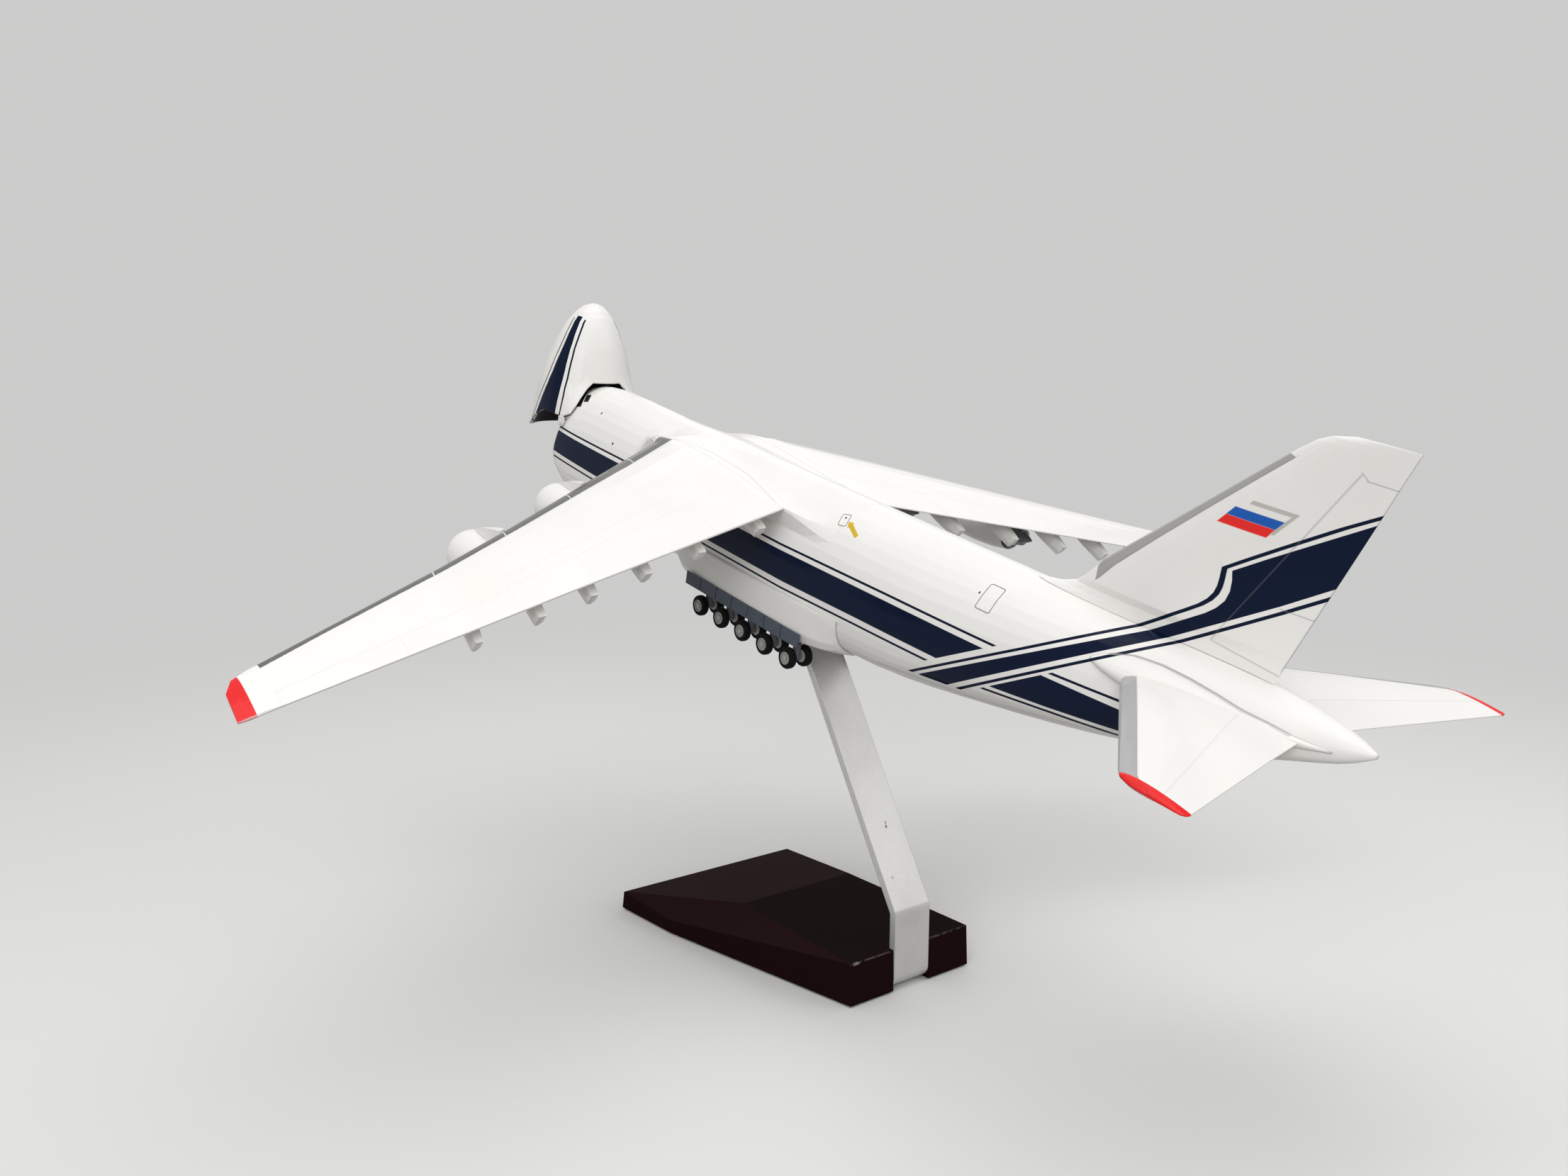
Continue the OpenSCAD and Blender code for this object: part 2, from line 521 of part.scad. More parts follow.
// Pylon: a thin plate whose foot runs along the cowl and whose head meets the wing edge and underside
pylon_half = 1.3;
pylon_nose = 5;
pylon_tail = 24;
function pylon_foot(x, s) = let(u = (s - lip_s(x)) / cowl_l, low = engine_z(x) + seat_gap,
    end = ahead(x) + pylon_tail)
    u < 0.97 ? low + cowl_at(u)
        : mix(low + cowl_at(0.97), wing_z(x, wing_row(x)[1] + pylon_tail, -1) - 0.5,
            (s - lip_s(x) - 0.97 * cowl_l) / (end - 0.97 * cowl_l));
// Height of the head at a distance out: over the wing edge ahead of it, close under the wing behind
pylon_rise = 1.2;
edge_gap = 0.4;
function pylon_head(x, s, at) = let(le = wing_row(at)[1], first = lip_s(x) + pylon_nose)
    s + edge_gap < le ? mix(pylon_foot(x, first) + 0.3, wing_row(at)[3] + pylon_rise,
        pow(max(0, s - first) / (le - edge_gap - first), 0.7))
    : wing_z(at, max(s + edge_gap, le + 0.01), -1) - seat_gap;
function pylon_t(x, s) =
    let(u = (s - lip_s(x) - pylon_nose) / (ahead(x) + pylon_tail - pylon_nose))
    max(0.25, pylon_half * pow(sin(180 * min(1, max(0, u))), 0.5));
edge_steps = [-1.45, -1.2, -0.95, -0.7, -0.5, -0.38, -0.2, 0.05, 0.3, 0.6, 1, 1.6, 2.6, 4.2, 7];
module pylon(x) {
    le = wing_row(x)[1];
    first = lip_s(x) + pylon_nose;
    stations = concat([for (k = [0:8]) mix(first, le - 1.8, k / 8)], [for (e = edge_steps) le + e],
        [for (k = [1:4]) mix(le + 7, le + pylon_tail, k / 4)]);
    loft([for (s = stations) let(t = pylon_t(x, s), a = pylon_foot(x, s))
        concat([[x - t, s, a], [x + t, s, a]],
            [for (d = [1, 0.5, 0, -0.5, -1]) [x + d * t, s, max(a + 0.3, pylon_head(x, s, x + d * t))]])]);
}
module pylons() {
    color(white) on_arm() for (x = [inner_x, outer_x], d = [-1, 1]) mirrored(d) pylon(x);
}

// Flap track fairings, which droop behind the wing. Their distances out from the centre line
flaps = [34, 67.2, 94.3, 119.5, 142, 166.8];
flap_l = 27;
flap_half = 1.9;
flap_top_drop = 4.8;
flap_deep = 9.4;
flap_rake = 3.6;
flap_break = 0.66;
module flap_fairing(x, i) {
    size = 1 - 0.04 * i;
    te = wing_row(x)[2];
    low = wing_row(x)[4];
    last = te - 0.5;
    first = last - flap_l * size;
    break_z = wing_z(x, mix(first, last, flap_break), -1) - 0.08;
    loft([for (u = [0, 0.1, 0.25, 0.45, flap_break, 0.83, 0.94, 1]) let(s = mix(first, last, u),
        t = flap_half * size * (0.25 + 0.75 * ease(u / 0.5)) * (u > 0.95 ? 0.8 : 1),
        top = u < flap_break ? wing_z(x, s, -1) - 0.08
            : mix(break_z, low - flap_top_drop, (u - flap_break) / (1 - flap_break)),
        deep = mix(wing_z(x, first, -1) - 0.5, low - flap_deep, pow(u, 0.75)), back = flap_rake * u * u)
        [[x - t, s, top - 0.05], [x + t, s, top - 0.3], [x + t, s - back / 2, mix(top, deep, 0.6)],
         [x + 0.45 * t, s - back, deep], [x - 0.45 * t, s - back, deep],
         [x - t, s - back / 2, mix(top, deep, 0.6)]]], true);
}
module flap_set(side) {
    color(white) on_arm() mirrored(side) for (i = [0:len(flaps) - 1]) flap_fairing(flaps[i], i);
}
module flap_fairings_left() { flap_set(1); }
module flap_fairings_right() { flap_set(-1); }

// Fin. Columns: height, leading edge station, trailing edge station
fin_rows = [
    [hull_top - 1, 287, 378.6],
    [31.5, 301.5, 379.8],
    [36, 306.5, 381.2],
    [42, 311.5, 383],
    [60, 331, 388.6],
    [80, 352.6, 394.7],
    [92, 365.6, 398.3],
    [96.5, 371, 399.7],
    [99, 376.5, 400.5],
    [fin_top, 382, 400.9]];
fin_thick = 0.1;
fin_n = 12;
function fin_pt(z, k, n) = let(le = curve(fin_rows, z, 1), te = curve(fin_rows, z, 2), c = te - le,
    u = (1 - cos(180 * min(k, 2 * n - k) / n)) / 2, t = z < 33 ? 0.075 : fin_thick)
    [(k <= n ? 1 : -1) * (c * foil_half(u, t) + edge_t / 2 * u), mix(le, te, u), z];
function fin_root(p) = [p[0], p[1], hull_z(p[1], p[0]) + seat_gap];
module fin() {
    root = [for (k = [0:2 * fin_n - 1]) fin_pt(hull_top - 1, k, fin_n)];
    feet = [for (f = [0.04, 0.5, 1]) [for (p = root) fin_root([f * p[0], p[1], 0]) + [0, 0, 0.05 * f]]];
    color(white) on_arm() loft(flip = true, strips = true, rings = concat(feet,
        [for (z = [30, 32, 34.5, 38, 42, 50, 60, 70, 80, 88, 93, 96.5, 98.6, fin_top])
            [for (k = [0:2 * fin_n - 1]) let(p = fin_pt(z, k, fin_n))
                [p[0], p[1], max(p[2], fin_root(p)[2] + 0.4)]]]));
}

// Tailplane and its root fairings, which swell out of the hull side
stab = [
    [12, 334.5, 394.9, 15.4, 16.7],
    [tail_span - 4.7, 386.6, 409.6, 17.9, 17.4],
    [tail_span - 2.4, 388.8, 410.1, 17.9, 17.4],
    [tail_span - 1, 391.8, 409.9, 17.9, 17.5],
    [tail_span - 0.3, 394.6, 408.9, 17.9, 17.5],
    [tail_span, 397.5, 407.5, 17.9, 17.6]];
stab_thick = 0.1;
pod_s0 = 327;
pod_s1 = 403;
pod_n = 10;
pod_up = 5.3;
pod_down = 5.6;
pod_swell = 4.4;
// Columns: place along the fairing, then shares of the three sizes above
pod = [[0, 0.12, 0.12, 0.1], [0.05, 0.48, 0.34, 0.39], [0.165, 0.91, 0.66, 0.73], [0.29, 1, 0.92, 0.94],
    [0.42, 0.91, 1, 1], [0.55, 0.7, 0.94, 0.94], [0.66, 0.46, 0.79, 0.8], [0.76, 0.34, 0.6, 0.62],
    [0.87, 0.16, 0.38, 0.37], [1, 0.06, 0.06, 0.02]];
function pod_u(s) = min(1, max(0, (s - pod_s0) / (pod_s1 - pod_s0)));
function pod_mid(s) = mix(16.5, 17, pod_u(s));
function pod_high(s, up) = up ? pod_up * curve(pod, pod_u(s), 1) : pod_down * curve(pod, pod_u(s), 2);
function pod_out(s) = pod_swell * curve(pod, pod_u(s), 3);
function hull_side(s, z) = let(m = curve(hull, s, 4), up = z >= m,
    e = up ? curve(hull, s, 5) : belly_fullness, h = up ? curve(hull, s, 2) - m : m - curve(hull, s, 3))
    curve(hull, s, 1) * pow(max(0.0001, 1 - pow(min(1, abs(z - m) / h), e)), 1 / e);
function pod_x(s, z) = let(v = (z - pod_mid(s)) / pod_high(s, z > pod_mid(s)))
    hull_side(s, z) + seat_gap + 0.16 + pod_out(s) * pow(max(0, 1 - v * v), 0.6);
function pod_z(s, k) = pod_mid(s) + pod_high(s, 2 * k < pod_n) * cos(180 * k / pod_n);
function pod_ring(s) = concat([for (k = [0:pod_n]) [pod_x(s, pod_z(s, k)), s, pod_z(s, k)]],
    [for (k = [pod_n:-1:0]) [hull_side(s, pod_z(s, k)) + seat_gap, s, pod_z(s, k)]]);
module tail_fairings() {
    color(white) on_arm() for (d = [-1, 1]) mirrored(d)
        loft([for (k = [0:24]) pod_ring(mix(pod_s0, pod_s1, k / 24))], true);
}
function stab_row(x) = let(i = row_of(stab, x), r = stab[i], u = (x - r[0]) / (stab[i + 1][0] - r[0]))
    mix(stab[i], stab[i + 1], u);
// Root section just off the surface of the fairing, which is wider at the front than at the rear
stab_front_x = 21.5;
stab_rear_x = 12;
function stab_pt(u, t, up, out) = let(r = stab_row(mix(stab_front_x, stab_rear_x, u)),
    s = mix(r[1], r[2], u), z = foil_z(r, u, t, up)) [pod_x(min(s, pod_s1 - 2), z) + out, s, z];
function stab_root(t, out) = concat(
    [for (k = [0:foil_n]) stab_pt((1 - cos(180 * k / foil_n)) / 2, t, 1, out)],
    [for (k = [foil_n:-1:1]) stab_pt((1 - cos(180 * k / foil_n)) / 2, t, -1, out)]);
stab_x = [28, 40, 55, 68, tail_span - 4.7, tail_span - 2.4, tail_span - 1, tail_span - 0.3, tail_span];
module tailplane(side) {
    feet = [for (f = [0.04, 0.35, 0.7, 1]) stab_root(f * stab_thick, seat_gap * (3.6 - 0.6 * f))];
    color(white) on_arm() mirrored(side)
        loft(strips = true, rings = concat(feet,
            [for (x = stab_x) foil_ring(stab_row(x), stab_thick * (x < tail_span - 0.5 ? 1.15 : 0.6))]));
}
module tailplane_left() { tailplane(1); }
module tailplane_right() { tailplane(-1); }

// Main gear housings along the lower corners of the hull
housing_s0 = 112;
housing_s1 = 219;
housing_a = 289;
housing_n = 8;
housing_floor = -29.4;
function housing_share(s) =
    pow(sin(180 * min(1, max(0, (s - housing_s0) / (housing_s1 - housing_s0)))), 0.35);
function housing_ring(s) = concat(
    [for (k = [0:housing_n]) let(v = k / housing_n, a = mix(350, housing_a, v), p = hull_pt(s, a, 0.35),
        q = [mix(25.4, 12.4, ease((v - 0.35) / 0.65)), mix(-10, housing_floor, ease(v / 0.55))],
        f = housing_share(s))
        [mix(p[0], q[0], f), s, min(p[2], mix(p[2], q[1], f))]],
    [for (k = [housing_n:-1:0]) hull_pt(s, mix(350, housing_a, k / housing_n), seat_gap)]);
module gear_sponsons() {
    color(white) on_arm() for (d = [-1, 1]) mirrored(d)
        loft([for (k = [0:20]) let(u = (1 - cos(180 * k / 20)) / 2)
            housing_ring(mix(housing_s0, housing_s1, u))], true);
}

// Wheels
wheel_out = 25.3;
wheel_in = 17.3;
leg_x = (wheel_out + wheel_in) / 2;
leg_r = 1.6;
door_panels = 7;
door_s0 = 125.3;
door_s1 = 201.9;
door_top = -23.5;
door_h = 5.4;
door_t = 0.7;
door_x = 25.5;
hub_r = 2.5;
hub_dish = 0.6;
function axle_s(i) = axle_mid_s + (i - 2) * axle_pitch;
module main_leg(i) {
    translate([leg_x, axle_s(i), 0]) difference() {
        union() {
            translate([0, 0, -axle_drop])
                cylinder(r = leg_r, h = axle_drop + housing_floor - seat_gap, $fn = 24);
            translate([0, 0, -axle_drop]) rotate([0, 90, 0])
                cylinder(r = 1.5, h = 3.6, center = true, $fn = 32);
        }
        translate([0, 0, -axle_drop]) rotate([0, 90, 0])
            cylinder(r = axle_r + run_gap, h = 10, center = true, $fn = 32);
    }
}
module main_legs(side) {
    color(grey) on_arm() mirrored(side) for (i = [0:4]) main_leg(i);
}
module main_legs_left() { main_legs(1); }
module main_legs_right() { main_legs(-1); }
module gear_doors(side) {
    l = (door_s1 - door_s0) / door_panels;
    color(blue_grey) on_arm() mirrored(side) for (i = [0:door_panels - 1])
        translate([door_x, door_s0 + i * l, door_top - door_h]) cube([door_t, l - 0.5, door_h]);
}
module gear_doors_left() { gear_doors(1); }
module gear_doors_right() { gear_doors(-1); }
module axle_set(half) {
    color(grey) rotate([0, 90, 0]) {
        cylinder(r = axle_r, h = 2 * half + tyre_w, center = true, $fn = 32);
        for (d = [0, 180]) rotate([d, 0, 0]) translate([0, 0, half]) rotate_extrude($fn = 40)
            polygon([[0, -tyre_w / 2], [hub_r, -tyre_w / 2], [hub_r, tyre_w / 2],
                [hub_r - 0.3, tyre_w / 2], [hub_r - 0.3, tyre_w / 2 - hub_dish],
                [axle_r + 0.4, tyre_w / 2 - hub_dish], [axle_r + 0.4, tyre_w / 2], [0, tyre_w / 2]]);
    }
}
module tyre_pair(half) {
    color(rubber) rotate([0, 90, 0]) for (d = [-1, 1]) translate([0, 0, d * half])
        rotate_extrude($fn = 40) polygon([[hub_r + 0.02, -tyre_w / 2 + 0.3], [tyre_r - 0.9, -tyre_w / 2],
            [tyre_r - 0.25, -tyre_w / 2 + 0.35], [tyre_r, -tyre_w / 2 + 0.9],
            [tyre_r, tyre_w / 2 - 0.9], [tyre_r - 0.25, tyre_w / 2 - 0.35],
            [tyre_r - 0.9, tyre_w / 2], [hub_r + 0.02, tyre_w / 2 - 0.3]]);
}
main_half = (wheel_out - wheel_in) / 2;
module at_main(side, i) {
    on_arm() translate([side * leg_x, axle_s(i), -axle_drop]) children();
}
module main_axle(side, i) { at_main(side, i) axle_set(main_half); }
module main_tyres(side, i) { at_main(side, i) tyre_pair(main_half); }

// Nose gear
nose_s = 22;
nose_x = 9;
nose_half = 3.6;
nose_drop = 34;
module at_nose(side) {
    on_arm() translate([side * nose_x, nose_s, -nose_drop]) children();
}
module nose_axle(side) { at_nose(side) axle_set(nose_half); }
module nose_tyres(side) { at_nose(side) tyre_pair(nose_half); }
function belly_z(s, x) = let(m = curve(hull, s, 4)) m - (m - curve(hull, s, 3))
    * pow(1 - pow(abs(x) / curve(hull, s, 1), belly_fullness), 1 / belly_fullness);
module nose_legs() {
    top = belly_z(nose_s + leg_r, nose_x - leg_r) - seat_gap;
    color(grey) for (d = [-1, 1]) at_nose(d) difference() {
        union() {
            cylinder(r = 1.3, h = nose_drop + top, $fn = 24);
            rotate([0, 90, 0]) cylinder(r = 1.4, h = 2.8, center = true, $fn = 32);
        }
        rotate([0, 90, 0]) cylinder(r = axle_r + run_gap, h = 10, center = true, $fn = 32);
    }
}
module nose_gear_doors() {
    x = nose_x + nose_half + tyre_w / 2 + 1;
    t = 0.7;
    color(white) on_arm() for (d = [-1, 1]) mirrored(d)
        loft([for (k = [0:4]) let(s = nose_s - 8 + 4 * k, top = belly_z(s, x) - seat_gap)
            [[x, s, top - 4.2], [x + t, s, top - 4.2], [x + t, s, top], [x, s, top]]]);
}

base();
base_felt();
stand_arm();
foot_screws();
fuselage();
cockpit();
cargo_floor();
belly_socket();
wing_fairing();
wing_left();
wing_right();
pylons();
nacelle_1();
nacelle_2();
nacelle_3();
nacelle_4();
engine_fans();
exhaust_cones();
flap_fairings_left();
flap_fairings_right();
fin();
tailplane_left();
tailplane_right();
tail_fairings();
gear_sponsons();
gear_doors_left();
gear_doors_right();
main_legs_left();
main_legs_right();
nose_legs();
nose_gear_doors();
hinge_pins();
visor_shell();
visor_arms();
main_axle(1, 0);  // main_axle_l1
main_axle(1, 1);  // main_axle_l2
main_axle(1, 2);  // main_axle_l3
main_axle(1, 3);  // main_axle_l4
main_axle(1, 4);  // main_axle_l5
main_axle(-1, 0);  // main_axle_r1
main_axle(-1, 1);  // main_axle_r2
main_axle(-1, 2);  // main_axle_r3
main_axle(-1, 3);  // main_axle_r4
main_axle(-1, 4);  // main_axle_r5
main_tyres(1, 0);  // main_tyres_l1
main_tyres(1, 1);  // main_tyres_l2
main_tyres(1, 2);  // main_tyres_l3
main_tyres(1, 3);  // main_tyres_l4
main_tyres(1, 4);  // main_tyres_l5
main_tyres(-1, 0);  // main_tyres_r1
main_tyres(-1, 1);  // main_tyres_r2
main_tyres(-1, 2);  // main_tyres_r3
main_tyres(-1, 3);  // main_tyres_r4
main_tyres(-1, 4);  // main_tyres_r5
nose_axle(1);  // nose_axle_left
nose_axle(-1);  // nose_axle_right
nose_tyres(1);  // nose_tyres_left
nose_tyres(-1);  // nose_tyres_right
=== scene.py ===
import math

import bpy
from mathutils import Matrix, Vector

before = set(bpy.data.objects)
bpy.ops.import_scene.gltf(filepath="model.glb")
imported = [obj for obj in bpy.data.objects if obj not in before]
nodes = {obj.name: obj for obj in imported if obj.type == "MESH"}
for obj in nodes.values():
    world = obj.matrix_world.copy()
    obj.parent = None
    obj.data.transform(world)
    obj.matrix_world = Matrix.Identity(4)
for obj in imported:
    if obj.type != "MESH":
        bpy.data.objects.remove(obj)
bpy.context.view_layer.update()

# Place of the aeroplane on its stand. Lengths in the aeroplane's own frame are in millimetres:
# x to port, s aft of the visor joint, z above the hull's datum.
PITCH = math.radians(12.5)
ARM_LEAN = math.radians(59.5)
ARM_REACH = 122.3
BEND_Y = 65.5
BEND_H = 31.4
SOCKET_S = 176.7
HULL_BOTTOM = 27.0
HINGE_S = 2.5
HINGE_Z = 10.0
ARM_Y = BEND_Y - ARM_REACH * math.cos(ARM_LEAN)
ARM_Z = BEND_H + ARM_REACH * math.sin(ARM_LEAN)
MM_IN_A_METRE = 1000
MM = 0.001

# Camera, in metres
CAMERA_PLACE = (0.3467, 0.4183, 0.2282)
CAMERA_RIGHT = (-0.7804, 0.6252, 0.0087)
CAMERA_BACK = (0.6194, 0.7711, 0.1476)
CLIP_START, CLIP_END = 0.01, 60
SENSOR_WIDTH, LENS = 36, 30.92      # in mm

# Lamps: name, place, the point it aims at, size, and power in watts
LAMPS = [
    ("top_softbox", (0.1, 0.25, 1.5), (0, 0.02, 0.15), (1.6, 1.2), 11.4),
    ("tail_softbox", (1.3, 1.1, 0.8), (0, 0.05, 0.18), (1.0, 0.8), 12),
    ("rear_softbox", (-1.0, 1.25, 0.85), (0, 0.05, 0.1), (0.9, 0.7), 3.2),
    ("front_softbox", (-1.2, -1.0, 1.0), (0, 0, 0.15), (1.0, 0.8), 1.5),
]


def add_camera():
    camera = bpy.data.objects.new("camera", bpy.data.cameras.new("camera"))
    bpy.context.scene.collection.objects.link(camera)
    camera.data.sensor_fit = "HORIZONTAL"
    camera.data.sensor_width = SENSOR_WIDTH
    camera.data.lens = LENS
    camera.data.clip_start = CLIP_START
    camera.data.clip_end = CLIP_END
    right = Vector(CAMERA_RIGHT).normalized()
    back = Vector(CAMERA_BACK).normalized()
    up = back.cross(right).normalized()
    right = up.cross(back).normalized()
    turn = Matrix((right, up, back)).transposed().to_4x4()
    camera.matrix_world = Matrix.Translation(CAMERA_PLACE) @ turn
    return camera


def add_lamp(name, place, aim, size, power):
    data = bpy.data.lights.new(name, "AREA")
    data.shape = "RECTANGLE"
    data.size, data.size_y = size
    data.energy = power
    lamp = bpy.data.objects.new(name, data)
    bpy.context.scene.collection.objects.link(lamp)
    lamp.location = place
    lamp.rotation_mode = "QUATERNION"
    lamp.rotation_quaternion = (Vector(place) - Vector(aim)).to_track_quat("Z", "Y")


bpy.context.scene.camera = add_camera()
bpy.context.scene.view_settings.view_transform = "Standard"
for lamp_facts in LAMPS:
    add_lamp(*lamp_facts)


class Num:
    """One number of a material, worked out by Math nodes."""

    def __init__(self, paint, socket):
        self.paint, self.socket = paint, socket

    def __add__(self, other):
        return self.paint.math("ADD", self, other)

    __radd__ = __add__

    def __sub__(self, other):
        return self.paint.math("SUBTRACT", self, other)

    def __rsub__(self, other):
        return self.paint.math("SUBTRACT", other, self)

    def __mul__(self, other):
        return self.paint.math("MULTIPLY", self, other)

    __rmul__ = __mul__

    def __truediv__(self, other):
        return self.paint.math("DIVIDE", self, other)

    def __neg__(self):
        return self.paint.math("MULTIPLY", self, -1.0)


EDGE = 0.12           # width of a painted edge's soft step, in mm
COAT_ROUGH = 0.05
BEVEL_SAMPLES = 6


class Paint:
    """A node material that is painted in the aeroplane's own millimetres.

    opened is for the visor, whose stripes are drawn in its shut place. stand is for the stand,
    which is painted in the part's own frame.
    """

    def __init__(self, name, opened=False, stand=False):
        self.mat = bpy.data.materials.new(name)
        self.mat.use_nodes = True
        self.tree = self.mat.node_tree
        self.bsdf = next(n for n in self.tree.nodes if n.type == "BSDF_PRINCIPLED")
        coordinates = self.tree.nodes.new("ShaderNodeTexCoord")
        turn = 0 if stand else PITCH
        shift = (0, 0, 0) if stand else self.offset()
        place = self.mapping(coordinates.outputs["Object"], MM_IN_A_METRE, turn, shift)
        if opened:
            shift = (0, HINGE_S + HINGE_Z, HINGE_Z - HINGE_S)
            place = self.mapping(place, 1, math.pi / 2, shift)
            turn = PITCH + math.pi / 2
        self.place = place
        self.x, self.s, self.z = self.split(place)
        self.ax = self.size(self.x)
        facing = self.mapping(coordinates.outputs["Normal"], 1, turn, (0, 0, 0))
        self.nx, self.ns, self.nz = self.split(facing)
        self.colour = None
        self.navy = None

    @staticmethod
    def offset():
        c, s = math.cos(PITCH), math.sin(PITCH)
        return (0, SOCKET_S - (ARM_Y * c - ARM_Z * s), -HULL_BOTTOM - (ARM_Y * s + ARM_Z * c))

    def mapping(self, vector, scale, turn, shift):
        node = self.tree.nodes.new("ShaderNodeMapping")
        node.inputs["Scale"].default_value = (scale,) * 3
        node.inputs["Rotation"].default_value = (turn, 0, 0)
        node.inputs["Location"].default_value = shift
        self.tree.links.new(vector, node.inputs["Vector"])
        return node.outputs[0]

    def split(self, vector):
        node = self.tree.nodes.new("ShaderNodeSeparateXYZ")
        self.tree.links.new(vector, node.inputs[0])
        return [Num(self, output) for output in node.outputs]

    def feed(self, value, socket):
        if isinstance(value, Num):
            self.tree.links.new(value.socket, socket)
        else:
            socket.default_value = value

    def math(self, kind, a, b=0.0, c=0.0, clamp=False):
        node = self.tree.nodes.new("ShaderNodeMath")
        node.operation = kind
        node.use_clamp = clamp
        for value, socket in zip((a, b, c), node.inputs):
            self.feed(value, socket)
        return Num(self, node.outputs[0])

    def fold(self, kind, values):
        out = values[0]
        for value in values[1:]:
            out = self.math(kind, out, value)
        return out

    def least(self, *values):
        return self.fold("MINIMUM", values)

    def most(self, *values):
        return self.fold("MAXIMUM", values)

    def size(self, value):
        return self.math("ABSOLUTE", value)

    def distance(self, u, v):
        return self.math("SQRT", u * u + v * v)

    def drift(self, value, gain, base):
        """The value stretched by gain about base, kept from 0 to 1."""
        return self.math("MULTIPLY_ADD", value, gain, base, clamp=True)

    def over(self, value, edge=0.0, soft=EDGE):
        """1 where value is over edge, 0 under it, with a soft step as wide as soft."""
        return self.math("MULTIPLY_ADD", value - edge, 1 / soft, 0.5, clamp=True)

    def between(self, value, low, high, soft=EDGE):
        return self.least(self.over(value - low, 0, soft), self.over(high - value, 0, soft))

    def line(self, value, at, width=0.3, soft=EDGE):
        return self.over(width / 2 - self.size(value - at), 0, soft)

    def spot(self, u, v, radius, soft=EDGE):
        """1 inside a circle about u = v = 0."""
        return self.over(radius - self.distance(u, v), 0, soft)

    def along(self, value, points):
        """The height of a bent line through the points, at value."""
        (x0, x1), ys = (points[0][0], points[-1][0]), [p[1] for p in points]
        y0, y1 = min(ys), max(max(ys), min(ys) + 0.001)
        node = self.tree.nodes.new("ShaderNodeFloatCurve")
        curve = node.mapping.curves[0]
        spots = [((x - x0) / (x1 - x0), (y - y0) / (y1 - y0)) for x, y in points]
        for u, v in spots[1:-1]:
            curve.points.new(u, v)
        for point, (u, v) in zip(curve.points, spots):
            point.location = (u, v)
            point.handle_type = "VECTOR"
        node.mapping.update()
        self.feed((value - x0) * (1 / (x1 - x0)), node.inputs["Value"])
        return Num(self, node.outputs[0]) * (y1 - y0) + y0

    def noise(self, scale, detail=3.0, rough=0.5):
        node = self.tree.nodes.new("ShaderNodeTexNoise")
        node.inputs["Scale"].default_value = scale
        node.inputs["Detail"].default_value = detail
        node.inputs["Roughness"].default_value = rough
        self.tree.links.new(self.place, node.inputs["Vector"])
        return Num(self, node.outputs["Fac"])

    def mix(self, amount, a, b):
        """Colour a where the amount is 0 and colour b where it is 1."""
        node = self.tree.nodes.new("ShaderNodeMix")
        node.data_type = "RGBA"
        if isinstance(a, tuple):
            node.inputs["A"].default_value = (*a, 1)
        else:
            self.tree.links.new(a, node.inputs["A"])
        node.inputs["B"].default_value = (*b, 1)
        self.feed(amount, node.inputs["Factor"])
        self.colour = node.outputs["Result"]

    def tone(self, a, b, amount):
        """Sets the paint to a colour that drifts from a to b."""
        self.mix(amount, a, b)

    def lay(self, mask, colour):
        """Lays a colour over the paint where the mask is 1."""
        self.mix(mask, self.colour, colour)

    def bump(self, height, round_off=0.0):
        """Relief in millimetres, and edges that look rounded off by a radius in metres."""
        node = self.tree.nodes.new("ShaderNodeBump")
        if isinstance(round_off, Num) or round_off:
            edge = self.tree.nodes.new("ShaderNodeBevel")
            edge.samples = BEVEL_SAMPLES
            self.feed(round_off, edge.inputs["Radius"])
            self.tree.links.new(edge.outputs[0], node.inputs["Normal"])
        node.inputs["Distance"].default_value = MM
        node.inputs["Strength"].default_value = 1.0
        self.feed(height, node.inputs["Height"])
        self.tree.links.new(node.outputs[0], self.bsdf.inputs["Normal"])

    def done(self, rough, coat=0.0, metal=0.0, specular=0.5):
        self.tree.links.new(self.colour, self.bsdf.inputs["Base Color"])
        self.feed(rough, self.bsdf.inputs["Roughness"])
        self.feed(coat, self.bsdf.inputs["Coat Weight"])
        self.bsdf.inputs["Coat Roughness"].default_value = COAT_ROUGH
        self.bsdf.inputs["Metallic"].default_value = metal
        self.bsdf.inputs["Specular IOR Level"].default_value = specular
        return self.mat


WHITE = (0.83, 0.82, 0.80)
WHITE_WARM = (0.80, 0.785, 0.76)
NAVY = (0.0042, 0.0095, 0.031)
RED = (0.74, 0.026, 0.027)
BLUE = (0.016, 0.105, 0.44)
YELLOW = (0.62, 0.42, 0.03)
FLAG_RED = (0.78, 0.030, 0.026)
FLAG_RIM = (0.50, 0.48, 0.46)
SLAT = (0.135, 0.135, 0.132)
SLAT_GAP = (0.70, 0.70, 0.69)
FIN_EDGE = (0.36, 0.355, 0.345)
TAIL_EDGE = (0.375, 0.375, 0.38)
TAIL_EDGE_REAR = (0.62, 0.62, 0.63)
WING_REAR = (0.45, 0.45, 0.46)
# Grey of engraved lines, also used for the painted shade line at the wing root
GROOVE_AND_SHADE_GREY = (0.42, 0.42, 0.44)
PEN = (0.09, 0.09, 0.11)
DARK = (0.018, 0.018, 0.021)
BLACK = (0.008, 0.008, 0.009)

GLOSS_COAT = 0.06
NAVY_COAT_LOSS = 0.05
GLOSS_SPECULAR = 0.08
GLOSS_ROUGH, SMEAR_ROUGH, LEAST_ROUGH = 0.08, 0.16, 0.05
PEEL_DEPTH, GROOVE_DEPTH = 0.006, 0.12      # in mm
SOFT_EDGE = 0.0012    # radius in metres by which glossy castings look rounded off


def white_paint(p):
    """Gloss white with a faint drift of tone."""
    p.tone(WHITE, WHITE_WARM, p.drift(p.noise(0.035, 2), 1.6, -0.3))


